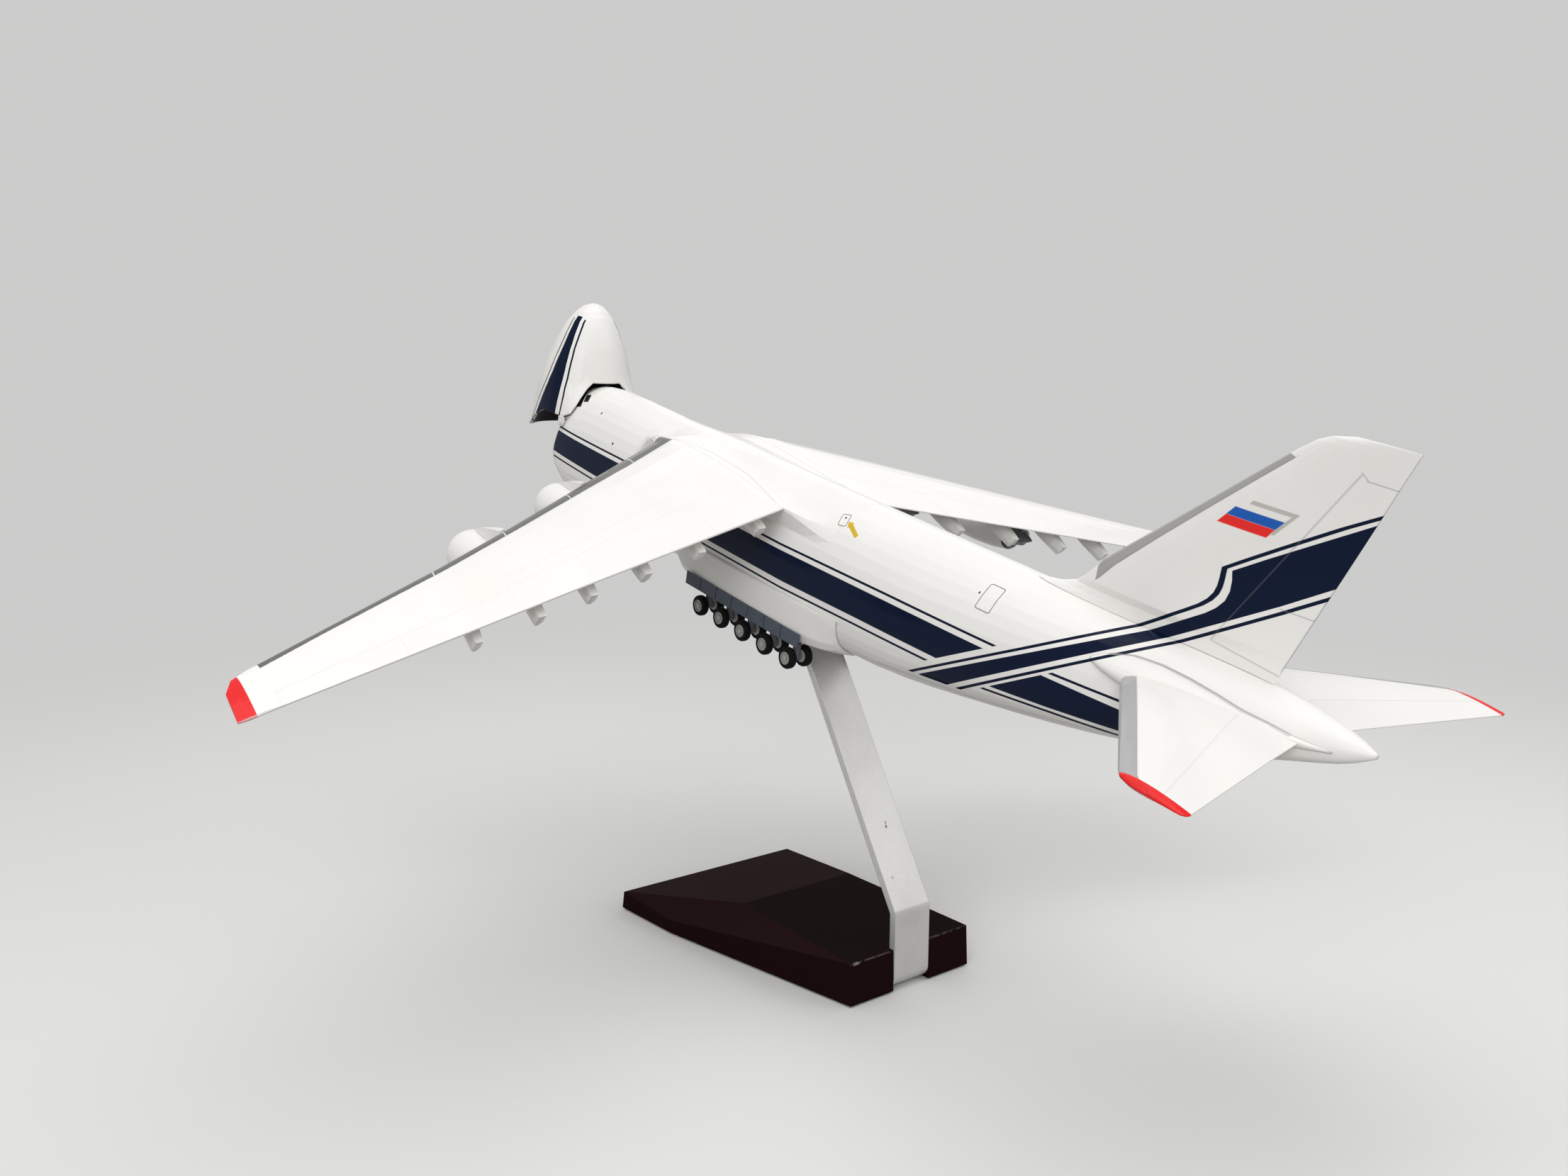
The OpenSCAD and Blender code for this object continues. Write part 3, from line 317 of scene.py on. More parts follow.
def gloss(p, groove=None, round_off=0.0):
    """Finishes a gloss paint: orange peel, engraved lines where groove is 1, handling marks."""
    height = p.noise(0.9, 2, 0.6) * PEEL_DEPTH
    if groove is not None:
        height = height - groove * GROOVE_DEPTH
    p.bump(height, round_off)
    smear = p.math("MULTIPLY_ADD", p.noise(0.12, 4, 0.65), SMEAR_ROUGH, GLOSS_ROUGH)
    coat = GLOSS_COAT if p.navy is None else GLOSS_COAT - p.navy * NAVY_COAT_LOSS
    return p.done(p.most(smear, LEAST_ROUGH), coat=coat, specular=GLOSS_SPECULAR)


# The band that climbs from the belly over the hull to the fin: (z, s) points of its edges,
# and of the middles of the two lines beside it
CLIMB_FRONT_LINE = [
    (-20, 249.2), (-16.2, 257.4), (10.5, 303.5), (27.2, 331.8), (34.4, 341.8), (37.8, 346.5),
    (40.9, 350.6), (43.4, 353.1), (45.8, 354.6), (48.1, 355.2), (50.4, 355.3), (54, 355.2),
    (58.8, 361.9), (64.7, 370.3), (75.5, 386), (84, 399.3)]
CLIMB_FRONT = [
    (-20, 254.8), (-14.8, 262.9), (10.5, 306.9), (27.2, 335.9), (31.5, 342), (35.1, 347.2),
    (39, 352.7), (41.7, 355.7), (44.6, 357.8), (47.8, 358.6), (51.1, 358.4), (53.9, 357.7),
    (60.7, 367.4), (84, 401.8)]
CLIMB_REAR = [
    (-20, 265.7), (-14.5, 274.4), (11.5, 316.8), (27.2, 342.5), (37.2, 357.4), (48.8, 374.5),
    (59.6, 389.4), (84, 423)]
CLIMB_REAR_LINE = [
    (-20, 269.5), (-13.9, 279.4), (11.5, 320.7), (27.7, 347.0), (37.5, 361.5), (46.8, 375.0),
    (56.4, 388.5), (84, 428)]
CLIMB_LINE_WIDTH = 1.9
CLIMB_SOFT = 0.2      # width of its edges' soft step, in mm
# The straight band along the hull: (s, z) points
BAND_TOP = [
    (0, 5.5), (60, 4.9), (120, 4.0), (180, 3.55), (240, 4.3), (290, 4.75), (345, 5.3)]
BAND_FOOT = [
    (0, -4.3), (40, -5.6), (100, -7.0), (184, -7.74), (230, -6.63), (270, -6.1), (294, -6.7),
    (318, -4.4), (345, -1.5)]
BAND_TOP_LINE = [
    (0, 7.2), (58, 7.1), (100, 6.5), (179, 5.63), (240, 6.6), (292, 7.1), (315, 6.8), (345, 8.0)]
BAND_FOOT_LINE = [
    (0, -6.6), (37, -7.8), (100, -9.4), (184, -10.4), (228, -9.2), (267, -8.5), (291, -8.6),
    (318, -5.8), (345, -3.4)]
BAND_LINE_WIDTH = 0.85
BAND_END = 350
# White left between the two bands, before and behind the climbing one
GAP_BEFORE, GAP_BEHIND = 5.0, 2.6
# Stripes and seams are only drawn this far or farther from the middle plane
SIDE_FROM = 8
# The belly line, where the climbing band ends: z = BELLY_Z + BELLY_SLOPE * s
BELLY_Z = -43.75
BELLY_SLOPE = 0.107


def stripes(p):
    """Straight band with pin lines along the hull, and the band that crosses it up to the fin."""
    s, z = p.s, p.z
    front_line, front = p.along(z, CLIMB_FRONT_LINE), p.along(z, CLIMB_FRONT)
    rear, rear_line = p.along(z, CLIMB_REAR), p.along(z, CLIMB_REAR_LINE)
    climb = p.most(p.line(s, front_line, CLIMB_LINE_WIDTH, CLIMB_SOFT),
                   p.line(s, rear_line, CLIMB_LINE_WIDTH, CLIMB_SOFT),
                   p.between(s, front, rear, CLIMB_SOFT))
    climb = p.least(climb, p.over(z - s * BELLY_SLOPE, BELLY_Z))
    straight = p.most(p.between(z, p.along(s, BAND_FOOT), p.along(s, BAND_TOP)),
                      p.line(z, p.along(s, BAND_TOP_LINE), BAND_LINE_WIDTH),
                      p.line(z, p.along(s, BAND_FOOT_LINE), BAND_LINE_WIDTH))
    behind = p.least(p.over(s - rear_line, GAP_BEHIND, CLIMB_SOFT),
                     p.over(BAND_END - s, 0, CLIMB_SOFT))
    clear = p.most(p.over(front_line - s, GAP_BEFORE, CLIMB_SOFT), behind)
    drawn = p.least(clear, p.over(p.ax, SIDE_FROM), p.over(s, 0.0, CLIMB_SOFT))
    return p.most(climb, p.least(straight, drawn))


def lay_navy(p, mask):
    p.navy = mask
    p.lay(mask, NAVY)


def rounded(p, u, v, half_u, half_v, corner=0.7, width=0.28):
    """Outline of a rounded rectangle about u = v = 0."""
    du = p.most(p.size(u) - (half_u - corner), 0.0)
    dv = p.most(p.size(v) - (half_v - corner), 0.0)
    inner = p.most(p.size(u) - half_u, p.size(v) - half_v)
    edge = p.most(p.distance(du, dv) - corner, inner)
    return p.line(edge, 0.0, width, 0.1)


TAIL_SEAM = [
    (331, 19.1), (339.5, 21.4), (349.4, 22.0), (359.2, 21.5), (368.6, 20.5), (377.3, 19.2),
    (384.9, 18.7), (392.8, 17.6)]
TAIL_SEAM_ENDS = (332, 392)


def tail_seam(p):
    """Upper edge of the tailplane's root fairing."""
    edge = p.along(p.s, TAIL_SEAM)
    return p.least(p.line(p.z, edge, 0.4, 0.2), p.between(p.s, *TAIL_SEAM_ENDS),
                   p.over(p.ax, SIDE_FROM))


# The shoulder of the hull is measured round an arc about a line at this height
SHOULDER_Z = -5
SHOULDER_RADIUS = 29.0
# Places on the shoulder as s and the distance round the arc, and the door's knob as s and z
DOOR = (282, 28.4)
HATCH = (203.4, 31.7)
HATCH_HANDLE = (203.2, 32.6)
ARROW = (205.8, 31.9)
DOOR_KNOB = (277.2, 19.8)
# Direction in which the arrow points, as its shares along the hull and round the arc
ARROW_ALONG, ARROW_ACROSS = 0.902, 0.431
# Portholes as s, z and radius
PORTHOLES = [(28.4, 20.5, 0.5), (49.3, 11.5, 0.6)]
# Edge of the wing root: (s, x) points
WING_ROOT = [
    (96, 24.9), (99, 22), (104, 20.6), (109, 20.1), (123, 18.8), (136, 18.3), (148, 18.5),
    (165, 21.6), (177.6, 24)]
HULL_ROUND_OFF = 0.0016
# The cockpit's side windows: a place on their line as s and x, the line's slant, and half their
# width
WINDOW_S, WINDOW_X, WINDOW_SLANT, WINDOW_HALF = 6.1, 10.05, 0.98, 2.1
# The edge of the rear ramp: z = RAMP_Z + BELLY_SLOPE * s, and its ends
RAMP_Z, RAMP_ENDS = -45.6, (240, 330)
HOLD_END = 70


def shoulder_marks(p):
    """Aft door, escape hatch and a plain yellow arrow, drawn on the shoulder of the hull."""
    s, z = p.s, p.z
    around = p.math("ARCTAN2", z - SHOULDER_Z, p.ax) * SHOULDER_RADIUS
    door = rounded(p, s - DOOR[0] - (z - 18) * 0.03, around - DOOR[1], 3.2, 4.7)
    knob = p.over(0.35 - p.size(s - DOOR_KNOB[0]), 0) * p.over(0.35 - p.size(z - DOOR_KNOB[1]), 0)
    du, dv = s - HATCH[0], around - HATCH[1]
    hatch = rounded(p, du + dv * 0.385, dv - du * 0.25, 2.0, 2.6)
    handle = p.spot(s - HATCH_HANDLE[0], around - HATCH_HANDLE[1], 0.45)
    p.lay(p.most(door, hatch, knob, handle), PEN)
    du, dv = s - ARROW[0], around - ARROW[1]
    t = du * ARROW_ALONG - dv * ARROW_ACROSS
    w = p.size(du * ARROW_ACROSS + dv * ARROW_ALONG)
    head = p.least(p.over(t, 0), p.over(2.6 - t, 0), p.over(t * 0.6 - w, 0))
    shaft = p.least(p.over(t, 2.5), p.over(9.3 - t, 0), p.over(0.85 - w, 0))
    p.lay(p.most(head, shaft), YELLOW)


def hull_paint():
    p = Paint("hull_paint")
    white_paint(p)
    s, z, ax = p.s, p.z, p.ax
    lay_navy(p, stripes(p))
    shoulder_marks(p)
    # Side windows of the cockpit, a dark patch in front of them painted for the shaded gap beside
    # the open visor, and two small portholes
    slant = s - (WINDOW_S + (ax - WINDOW_X) * WINDOW_SLANT)
    window = p.least(p.over(WINDOW_HALF - p.size(slant), 0), p.between(ax, 9.8, 13.5),
                     p.over(z, 19))
    gap_shadow = p.least(p.over(-2.9 - slant, 0), p.between(ax, 7.5, 15.5), p.over(z, 17))
    ports = [p.spot(s - at, z - height, radius) for at, height, radius in PORTHOLES]
    p.lay(p.most(window, gap_shadow, *ports), DARK)
    # Panel behind the nose gear, and the edge of the rear ramp
    panel = p.least(p.most(p.line(s, 15), p.line(s, 27), p.line(z, -12.5)),
                    p.between(s, 14.9, 27.1), p.between(z, -22, -12.4))
    ramp = p.least(p.line(z - s * BELLY_SLOPE, RAMP_Z, 0.3), p.between(s, *RAMP_ENDS))
    grooves = p.most(panel * 0.7, ramp)
    p.lay(grooves * 0.6, GROOVE_AND_SHADE_GREY)
    p.lay(tail_seam(p) * 0.55, GROOVE_AND_SHADE_GREY)
    # Painted shade: a soft grey line along the wing root over the fairing, where the step to the
    # fillet falls in shade
    root_shade_line = p.least(p.line(ax, p.along(s, WING_ROOT), 0.45, 0.5), p.between(s, 97, 177),
                   p.over(z, 16), p.over(p.nz, 0.3))
    p.lay(root_shade_line * 0.55, GROOVE_AND_SHADE_GREY)
    # Painted shade: the inside of the hold, its inward-facing and forward-facing walls, is painted
    # black
    inward = p.over(-(p.nx * p.x * 0.04 + p.nz * (z + 1) * 0.04), 0.05, 0.1)
    back = p.over(-p.ns, 0.6, 0.2) * p.over(s, 30, 1)
    p.lay(p.least(p.most(inward, back), p.over(HOLD_END - s, 0, 1)), BLACK)
    # Edges look rounded, but not at the saddle, where the wing fairing's rim has to vanish
    saddle = p.least(p.between(s, 60, 212, 4), p.over(z, 8, 4))
    return gloss(p, grooves, round_off=HULL_ROUND_OFF - saddle * HULL_ROUND_OFF)


# The visor's band in its shut place: (s, z) points
VISOR_TOP = [
    (-46.5, -2.4), (-38.7, -0.36), (-33.8, 0.77), (-28.8, 1.6), (-21.4, 2.9), (-15.2, 3.7),
    (-9, 4.5), (-0.65, 4.9), (12, 5.5)]
VISOR_FOOT = [
    (-46.5, -5.4), (-40, -4.4), (-36.6, -3.95), (-31.5, -3.7), (-25, -4.1), (-19.1, -4.6),
    (-13.7, -5.7), (-8.8, -7.2), (0.5, -10.6), (12, -15)]
VISOR_TOP_LINE = [
    (-46.5, -0.6), (-38.5, 1.65), (-32.3, 2.8), (-26.1, 3.95), (-21.2, 4.7), (-13.8, 5.95),
    (-7.7, 7.3), (-1, 7.8), (12, 9)]
VISOR_FOOT_LINE = [
    (-46.5, -7.2), (-36.6, -5.9), (-31.5, -5.8), (-25, -6.3), (-19.1, -6.9), (-13.7, -8),
    (-8.8, -9.6), (0.5, -12.9), (12, -17)]


def visor_paint():
    p = Paint("visor_paint", opened=True)
    white_paint(p)
    s, z = p.s, p.z
    band = p.between(z, p.along(s, VISOR_FOOT), p.along(s, VISOR_TOP))
    lines = p.most(p.line(z, p.along(s, VISOR_TOP_LINE), 0.75),
                   p.line(z, p.along(s, VISOR_FOOT_LINE), 0.7))
    drawn = p.most(p.least(band, p.over(s, -46.3)), p.least(lines, p.over(s, -45.2)))
    lay_navy(p, p.least(drawn, p.over(p.ax, 4)))
    # Painted shade: the visor's inward-facing inside is painted black
    inward = p.over(-(p.nx * p.x * 0.04 + p.nz * (z + 5) * 0.04), 0.02, 0.06)
    p.lay(inward, BLACK)
    return gloss(p, round_off=SOFT_EDGE)


def brow_paint():
    p = Paint("brow_paint")
    white_paint(p)
    # Windscreen: a dark band of panes round the front of the brow
    pane = p.least(p.over(p.z - p.s * 0.55, 15.5), p.over(23.8 - p.z, 0), p.over(-1.2 - p.s, 0))
    posts = p.most(p.line(p.ax, 0, 0.6), p.line(p.ax, 5.2, 0.5),
                   p.line(p.s, -4.6, 0.5) * p.over(p.ax, 8))
    p.lay(p.least(pane, 1 - posts), DARK)
    return gloss(p)


# Leading edge of the fin and the width of its grey band up the height, and the height of its foot
FIN_LEAD = [
    (27, 296), (31.5, 301.5), (36, 306.5), (42, 311.5), (60, 331), (80, 352.6), (92, 365.6)]
FIN_BAND = [(27, 6.5), (42, 6), (55, 4.7), (70, 3.8), (82, 3.4), (92, 3.2)]
FIN_FOOT = [(290, 29.5), (314, 31.5), (350, 31.5), (386, 28), (410, 26)]
# Height at which the grey band and the rudder end
FIN_TOP = 91
# Lower front corner of the flag, its height, the slant of its ends and its length
FLAG_S, FLAG_Z, FLAG_HEIGHT, FLAG_SLANT, FLAG_LENGTH = 348.7, 66.3, 8.45, 6.6, 16.4
FIN_ROUND_OFF = 0.0006
# The rudder's hinge line: a place on it, its slant, and the height at which it starts
RUDDER_S, RUDDER_Z, RUDDER_SLANT, RUDDER_FOOT = 364.9, 48.7, 0.52, 31.6


def fin_flag(p):
    """Flag of three plain stripes with a grey edge above and behind it."""
    v = (p.z - FLAG_Z) / FLAG_HEIGHT
    u = (p.s - FLAG_S - v * FLAG_SLANT) / FLAG_LENGTH
    cloth = p.between(u, 0, 1, 0.02)
    p.lay(p.least(cloth, p.between(v, 0, 0.35, 0.03)), FLAG_RED)
    p.lay(p.least(cloth, p.between(v, 0.35, 0.69, 0.03)), BLUE)
    above = p.least(p.between(v, 0.92, 1.07, 0.03), p.between(u, 0.16, 1.06, 0.02))
    behind = p.least(p.between(v, 0.16, 1.07, 0.03), p.between(u, 0.985, 1.065, 0.02))
    p.lay(p.most(above, behind), FLAG_RIM)


def fin_rudder(p):
    """Engraved outline of the rudder."""
    s, z = p.s, p.z
    hinge = RUDDER_S + (z - RUDDER_Z) * RUDDER_SLANT
    return p.most(
        p.least(p.line(s, hinge, 0.5), p.between(z, RUDDER_FOOT, FIN_TOP)),
        p.least(p.line(z + (s - 389) * 0.04, 89.4, 0.4), p.over(s, 388.4)),
        p.least(p.line(z + (s - 387) * 0.75, 91.0, 0.5), p.between(s, 386.6, 388.9)),
        p.least(p.line(z, 47.9, 0.4), p.over(s - hinge, 10)),
        p.least(p.line(z + (s - 356) * 0.12, RUDDER_FOOT, 0.4), p.over(s, 356)))


def fin_paint():
    p = Paint("fin_paint")
    white_paint(p)
    s, z = p.s, p.z
    navy = stripes(p)
    lay_navy(p, navy)
    fin_flag(p)
    aft = s - p.along(z, FIN_LEAD)
    wide = p.along(z, FIN_BAND)
    lead = p.least(p.over(wide - aft, 0), p.over(FIN_TOP - z - aft * 0.2, 0),
                   p.over(z + aft * 0.9, 40.5))
    p.lay(lead, FIN_EDGE)
    rudder = fin_rudder(p)
    p.lay(p.least(rudder, 1 - navy * 0.8) * 0.45, GROOVE_AND_SHADE_GREY)
    step = p.least(p.line(aft, wide, 0.35), p.between(z, 36, FIN_TOP))
    # Edges look rounded, but not at the foot, which has to vanish in the hull
    upper = p.over(z - p.along(s, FIN_FOOT), 1.5, 1.5)
    return gloss(p, p.most(rudder, step), round_off=upper * FIN_ROUND_OFF)


# Leading and trailing edge of the wing, and the width of its slats' dark band, along the span
WING_LEAD = [
    (20, 88.5), (128, 156.3), (163.5, 177.3), (230.5, 213.8), (236.3, 216.8), (250, 222)]
WING_TRAIL = [
    (20, 177.2), (31, 180.2), (66, 189.5), (128, 206.1), (163.5, 215.9), (230.5, 234.1),
    (250, 238)]
SLAT_WIDTH = [
    (20, 9.6), (60, 9.4), (86, 7.8), (130, 5.7), (158, 4.9), (182, 4.0), (210, 3.1), (250, 3.0)]
SLAT_ENDS = (25, 232.8)
SLAT_JOINTS = (52.4, 94.4, 131.6, 166.3)
FLAP_ENDS, SPOILER_ENDS, AILERON_ENDS = (26, 150), (60, 150), (152, 233)
FLAP_CUTS = (60, 88, 119, 150.5, 192, 232)
SPOILER_CUTS = (74, 104, 134)
WING_RED_FROM = 239.3
# Places across the chord, from 0 at the leading edge to 1 at the trailing one
SPOILER_LINE, FLAP_LINE, AILERON_LINE = 0.585, 0.70, 0.72


def wing_paint():
    p = Paint("wing_paint")
    white_paint(p)
    s, ax = p.s, p.ax
    lead, trail = p.along(ax, WING_LEAD), p.along(ax, WING_TRAIL)
    aft = s - lead
    wide = p.along(ax, SLAT_WIDTH) + (p.noise(0.9, 2) - 0.5) * 0.5
    chord = aft / (trail - lead)
    slatted = p.between(ax, *SLAT_ENDS)
    band = p.least(p.over(wide - aft, 0), p.over(aft, -0.5), slatted)
    p.lay(band, SLAT)
    joints = p.most(*[p.line(ax - aft * 0.35, x, 0.55) for x in SLAT_JOINTS])
    p.lay(p.least(joints, band), SLAT_GAP)
    p.lay(p.over(ax - WING_RED_FROM + (s - 228) * 0.02, 0), RED)
    flap = p.least(p.line(chord, FLAP_LINE, 0.0035, 0.002), p.between(ax, *FLAP_ENDS))
    spoiler = p.least(p.line(chord, SPOILER_LINE, 0.003, 0.002), p.between(ax, *SPOILER_ENDS))
    aileron = p.least(p.line(chord, AILERON_LINE, 0.005, 0.003), p.between(ax, *AILERON_ENDS))
    cuts = p.least(p.most(*[p.line(ax, x, 0.25) for x in FLAP_CUTS]),
                   p.over(chord, FLAP_LINE, 0.01))
    lids = p.least(p.most(*[p.line(ax, x, 0.2) for x in SPOILER_CUTS]),
                   p.between(chord, SPOILER_LINE, FLAP_LINE, 0.01))
    grooves = p.most(flap, spoiler, aileron, cuts, lids)
    p.lay(grooves * 0.09, GROOVE_AND_SHADE_GREY)
    p.lay(p.over(chord, 0.992, 0.003) * 0.6, WING_REAR)
    return gloss(p, p.most(grooves * 0.35, p.least(p.line(aft, wide, 0.35), slatted)))


# Leading edge of the tailplane along its span
TAIL_LEAD = [(12, 334.5), (79.3, 386.6), (82, 389.5), (84, 394)]
TAIL_BAND_WIDTH, TAIL_BAND_END = 5.7, 81
TAIL_RED_FROM = 80.9
# The elevator's hinge line: s in the middle plane, and its sweep
ELEVATOR_S, ELEVATOR_SWEEP = 372.4, 0.362


def tailplane_paint():
    p = Paint("tailplane_paint")
    white_paint(p)
    s, ax = p.s, p.ax
    aft = s - p.along(ax, TAIL_LEAD)
    band = p.least(p.over(TAIL_BAND_WIDTH - aft, 0), p.over(TAIL_BAND_END - ax, 0))
    p.lay(band, TAIL_EDGE)
    rear = p.line(aft, TAIL_BAND_WIDTH, 0.35)
    p.lay(rear * 0.5, TAIL_EDGE_REAR)
    p.lay(p.over(ax, TAIL_RED_FROM), RED)
    hinge = ELEVATOR_S + ax * ELEVATOR_SWEEP
    elevator = p.least(p.line(s, hinge, 0.4), p.over(TAIL_RED_FROM - ax, 0))
    p.lay(elevator * 0.12, GROOVE_AND_SHADE_GREY)
    return gloss(p, p.most(elevator * 0.5, rear))


def tail_fairing_paint():
    p = Paint("tail_fairing_paint")
    white_paint(p)
    lay_navy(p, stripes(p))
    p.lay(tail_seam(p) * 0.55, GROOVE_AND_SHADE_GREY)
    return gloss(p, round_off=SOFT_EDGE)


def plain_white(name):
    p = Paint(name)
    white_paint(p)
    return gloss(p)


def metal(name, a, b, rough):
    p = Paint(name)
    n = p.noise(0.5, 4, 0.6)
    p.tone(a, b, p.drift(n, 1.8, -0.4))
    p.bump(n * 0.004)
    return p.done(p.math("MULTIPLY_ADD", n, 0.16, rough - 0.08), metal=0.9)


def satin(name, a, b, rough, scale=0.4, bump=0.01, specular=0.3):
    p = Paint(name)
    n = p.noise(scale, 4, 0.6)
    p.tone(a, b, p.drift(n, 1.6, -0.3))
    p.bump(n * bump)
    return p.done(p.math("MULTIPLY_ADD", n, 0.15, rough - 0.07), specular=specular)


# The base in its own millimetres: its rear edge, the height of that edge, and where it is chipped
BASE_REAR, BASE_REAR_TOP = 66.1, 16.55
CHIP, CHIP_REAR, CHIP_TOP = (26.7, 29.4), 65.9, 16.2
LACQUER_A, LACQUER_B = (0.0105, 0.0036, 0.0036), (0.0140, 0.0048, 0.0050)
# Lit and shaded copies of the lacquer, painted on its facets
LACQUER_FRONT_LIT = (0.0250, 0.0140, 0.0130)
LACQUER_REAR_SHADED = (0.0052, 0.0022, 0.0022)
LACQUER_BEVEL_LIT = (0.0190, 0.0080, 0.0080)
# Lighter rear edge: real wear, and a painted highlight along the edge
WORN_EDGE_AND_HIGHLIGHT = (0.16, 0.13, 0.12)
CHIPPED = (0.22, 0.19, 0.17)


def base_paint():
    """Dark lacquer of the stand with painted light and shade on its facets, worn along its rear
    edge, which also gets a painted highlight, and chipped at a corner.
    """
    p = Paint("burgundy_lacquer", stand=True)
    p.tone(LACQUER_A, LACQUER_B, p.noise(0.05, 3))
    # Painted light and shade: the front of the top and the bevel are painted lighter, the rear of
    # the top darker
    side = p.size(p.nx)
    top = p.over(p.nz, 0.5, 0.2)
    front = p.least(top, p.over(-p.ns, 0.02, 0.1))
    rear = p.least(top, p.over(p.ns, 0.02, 0.02), p.over(0.1 - side, 0, 0.02))
    bevel = p.least(p.over(side, 0.3, 0.1), p.over(p.nz, 0.15, 0.05))
    for mask, colour in ((front, LACQUER_FRONT_LIT), (rear, LACQUER_REAR_SHADED), (bevel, LACQUER_BEVEL_LIT)):
        p.lay(mask * 0.8, colour)
    # The rear top edge is laid lighter in patches: real wear, and a painted highlight along the
    # edge
    patchy = p.over(p.noise(0.35, 3, 0.6), 0.46, 0.12)
    worn_and_highlight = p.least(p.over(p.s, BASE_REAR, 0.25), p.over(p.z, BASE_REAR_TOP, 0.25), patchy)
    p.lay(worn_and_highlight * 0.5, WORN_EDGE_AND_HIGHLIGHT)
    chip = p.least(p.between(p.x, *CHIP, 0.5), p.over(p.s, CHIP_REAR),
                   p.over(p.z, CHIP_TOP, 0.3))
    p.lay(p.least(chip, p.over(p.noise(1.1, 2), 0.42, 0.1)), CHIPPED)
    n = p.noise(0.12, 4, 0.65)
    p.bump(n * 0.01, 0.0008)
    return p.done(p.math("MULTIPLY_ADD", n, 0.2, 0.18), coat=0.03, specular=0.0)


# Rusty specks on the arm as x, z, radius and strength
SPECKS = [
    (-0.7, 59.5, 0.5, 0.9), (-1.1, 60.9, 0.4, 0.8), (-0.9, 60.2, 0.25, 0.6), (4.5, 42.9, 0.45, 0.5)]
RUST = (0.10, 0.045, 0.02)
SILVER_A, SILVER_B = (0.50, 0.495, 0.48), (0.68, 0.675, 0.66)
SILVER_DULL = (0.38, 0.375, 0.36)


def arm_paint():
    """Silver paint with a fine sparkle, and a few rusty specks."""
    p = Paint("silver_paint", stand=True)
    grain = p.noise(2.6, 2, 0.7)
    p.tone(SILVER_A, SILVER_B, p.drift(grain, 2.2, -0.6))
    p.lay(p.over(p.noise(0.05, 3), 0.56, 0.3) * 0.25, SILVER_DULL)
    for x, z, radius, share in SPECKS:
        p.lay(p.spot(p.x - x, p.z - z, radius, 0.4) * share, RUST)
    p.bump(grain * 0.006, 0.0004)
    rough = p.math("MULTIPLY_ADD", grain, 0.2, 0.26)
    return p.done(rough, coat=0.05, metal=0.45, specular=0.4)


paints = {
    "hull": hull_paint(),
    "visor": visor_paint(),
    "brow": brow_paint(),
    "fin": fin_paint(),
    "wing": wing_paint(),
    "tailplane": tailplane_paint(),
    "tail_fairing": tail_fairing_paint(),
    "white": plain_white("white_paint"),
    "silver": arm_paint(),
    "burgundy": base_paint(),
    "felt": satin("black_felt", (0.012, 0.012, 0.012), (0.02, 0.02, 0.02), 0.9, 3.0, 0.05),
    "steel": metal("screw_steel", (0.42, 0.42, 0.42), (0.5, 0.5, 0.5), 0.3),
    "inside": satin("grey_inside", (0.010, 0.010, 0.011), (0.018, 0.018, 0.019), 0.6,
                    specular=0.1),
    "door": satin("grey_blue_paint", (0.062, 0.078, 0.104), (0.088, 0.104, 0.132), 0.35,
                  specular=0.12),
    "gear": satin("gear_metal", (0.10, 0.11, 0.125), (0.15, 0.16, 0.175), 0.4, specular=0.15),
    "hub": satin("hub_metal", (0.30, 0.30, 0.29), (0.38, 0.375, 0.36), 0.35),
    "fan": metal("fan_metal", (0.12, 0.12, 0.13), (0.17, 0.17, 0.18), 0.35),
    "tyre": satin("tyre_rubber", (0.006, 0.006, 0.006), (0.010, 0.010, 0.010), 0.6, 1.2, 0.02,
                  specular=0.04),
}
PAINT_OF_NODE = {
    "base": "burgundy", "base_felt": "felt", "stand_arm": "silver", "foot_screws": "steel",
    "fuselage": "hull", "cockpit": "brow", "cargo_floor": "inside", "belly_socket": "inside",
    "wing_fairing": "hull", "wing_left": "wing", "wing_right": "wing", "fin": "fin",
    "tailplane_left": "tailplane", "tailplane_right": "tailplane",
    "tail_fairings": "tail_fairing", "gear_sponsons": "hull", "gear_doors_left": "door",
    "gear_doors_right": "door", "main_legs_left": "gear", "main_legs_right": "gear",
    "nose_legs": "gear", "engine_fans": "fan", "exhaust_cones": "fan", "visor_shell": "visor",
}


def paint_of(name):
    if "tyres" in name:
        return paints["tyre"]
    if "axle" in name:
        return paints["hub"]
    return paints[PAINT_OF_NODE.get(name, "white")]


for name, node in nodes.items():
    for slot in node.material_slots:
        slot.material = paint_of(name)
    if not node.material_slots:
        node.data.materials.append(paint_of(name))

# Floor and backdrop
BACKDROP = (0.60, 0.60, 0.595, 1)
FLOOR_RADIUS = 12
FADE_FROM, FADE_TO = 0.32, 0.95
PAPER_SEEN = (0.72, 0.72, 0.715, 1)
PAPER_BOUNCED = (0.30, 0.295, 0.285, 1)
ROOM_COLOUR = (1.0, 0.99, 0.975, 1)
ROOM_STRENGTH = 0.5


def seen_rays(tree):
    """1 for the rays that look at the backdrop, straight, mirrored or through glass."""
    rays = tree.nodes.new("ShaderNodeLightPath")
    out = rays.outputs["Is Camera Ray"]
    for kind in ("Is Glossy Ray", "Is Transmission Ray"):
        either = tree.nodes.new("ShaderNodeMath")
        either.operation = "MAXIMUM"
        tree.links.new(out, either.inputs[0])
        tree.links.new(rays.outputs[kind], either.inputs[1])
        out = either.outputs[0]
    return out


def blended(tree, amount, first, second):
    node = tree.nodes.new("ShaderNodeMixShader")
    tree.links.new(amount, node.inputs["Fac"])
    tree.links.new(first, node.inputs[1])
    tree.links.new(second, node.inputs[2])
    return node.outputs[0]


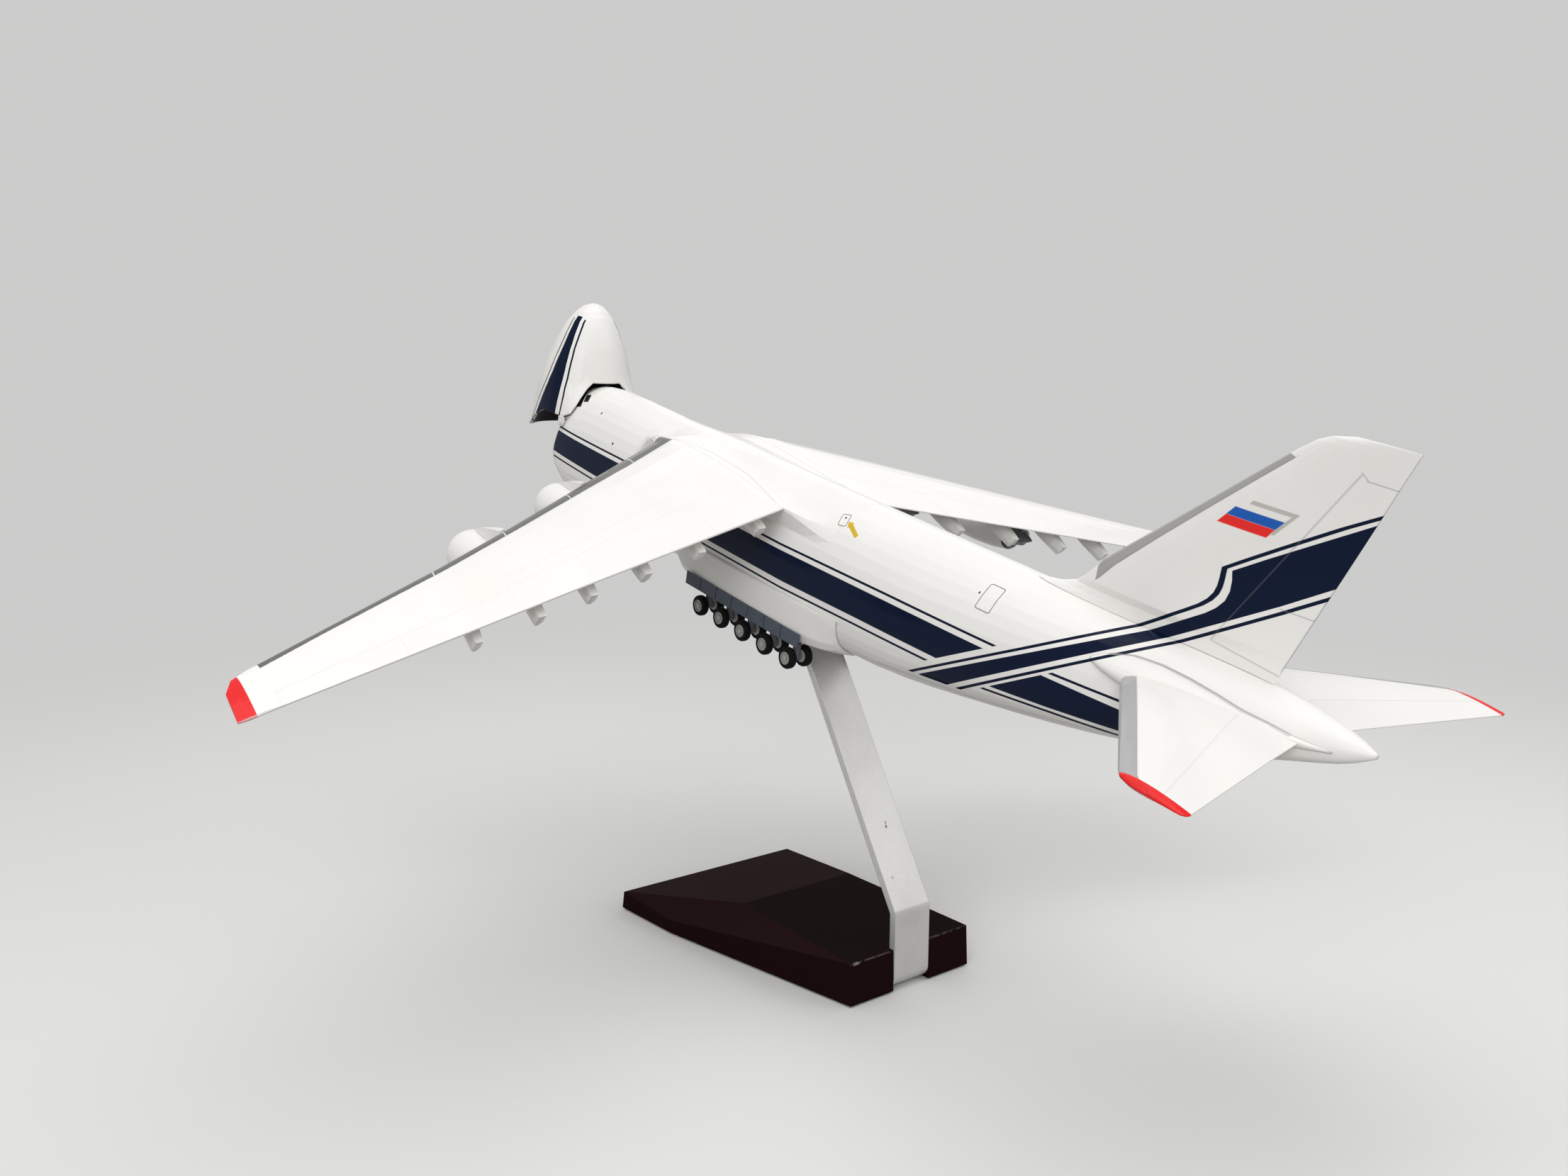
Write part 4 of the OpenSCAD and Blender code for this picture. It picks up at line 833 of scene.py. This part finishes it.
def paper_material():
    """Pale paper that is dimmer for the light it throws up, and fades into the backdrop."""
    paper = bpy.data.materials.new("floor_paper")
    paper.use_nodes = True
    tree = paper.node_tree
    shader = next(n for n in tree.nodes if n.type == "BSDF_PRINCIPLED")
    shader.inputs["Roughness"].default_value = 0.75
    tone = tree.nodes.new("ShaderNodeMix")
    tone.data_type = "RGBA"
    tone.inputs["A"].default_value = PAPER_BOUNCED
    tone.inputs["B"].default_value = PAPER_SEEN
    tree.links.new(seen_rays(tree), tone.inputs["Factor"])
    tree.links.new(tone.outputs["Result"], shader.inputs["Base Color"])
    place = tree.nodes.new("ShaderNodeTexCoord")
    length = tree.nodes.new("ShaderNodeVectorMath")
    length.operation = "LENGTH"
    tree.links.new(place.outputs["Object"], length.inputs[0])
    far = tree.nodes.new("ShaderNodeMapRange")
    far.interpolation_type = "SMOOTHSTEP"
    far.inputs["From Min"].default_value = FADE_FROM
    far.inputs["From Max"].default_value = FADE_TO
    tree.links.new(length.outputs["Value"], far.inputs["Value"])
    share = tree.nodes.new("ShaderNodeMath")
    share.operation = "MULTIPLY"
    tree.links.new(far.outputs[0], share.inputs[0])
    tree.links.new(seen_rays(tree), share.inputs[1])
    glow = tree.nodes.new("ShaderNodeEmission")
    glow.inputs["Color"].default_value = BACKDROP
    surface = next(n for n in tree.nodes if n.type == "OUTPUT_MATERIAL")
    out = blended(tree, share.outputs[0], shader.outputs[0], glow.outputs[0])
    tree.links.new(out, surface.inputs["Surface"])
    return paper


def studio_world():
    """Soft white room that shows as the backdrop to the eye and in reflections."""
    world = bpy.data.worlds.new("studio")
    world.use_nodes = True
    tree = world.node_tree
    tree.nodes.clear()
    room = tree.nodes.new("ShaderNodeBackground")
    room.inputs["Color"].default_value = ROOM_COLOUR
    room.inputs["Strength"].default_value = ROOM_STRENGTH
    seen = tree.nodes.new("ShaderNodeBackground")
    seen.inputs["Color"].default_value = BACKDROP
    seen.inputs["Strength"].default_value = 1.0
    output = tree.nodes.new("ShaderNodeOutputWorld")
    out = blended(tree, seen_rays(tree), room.outputs[0], seen.outputs[0])
    tree.links.new(out, output.inputs["Surface"])
    return world


bpy.ops.mesh.primitive_circle_add(vertices=96, radius=FLOOR_RADIUS, fill_type="NGON",
                                  location=(0, 0, 0))
floor = bpy.context.object
floor.name = "floor"
floor.data.materials.append(paper_material())
bpy.context.scene.world = studio_world()
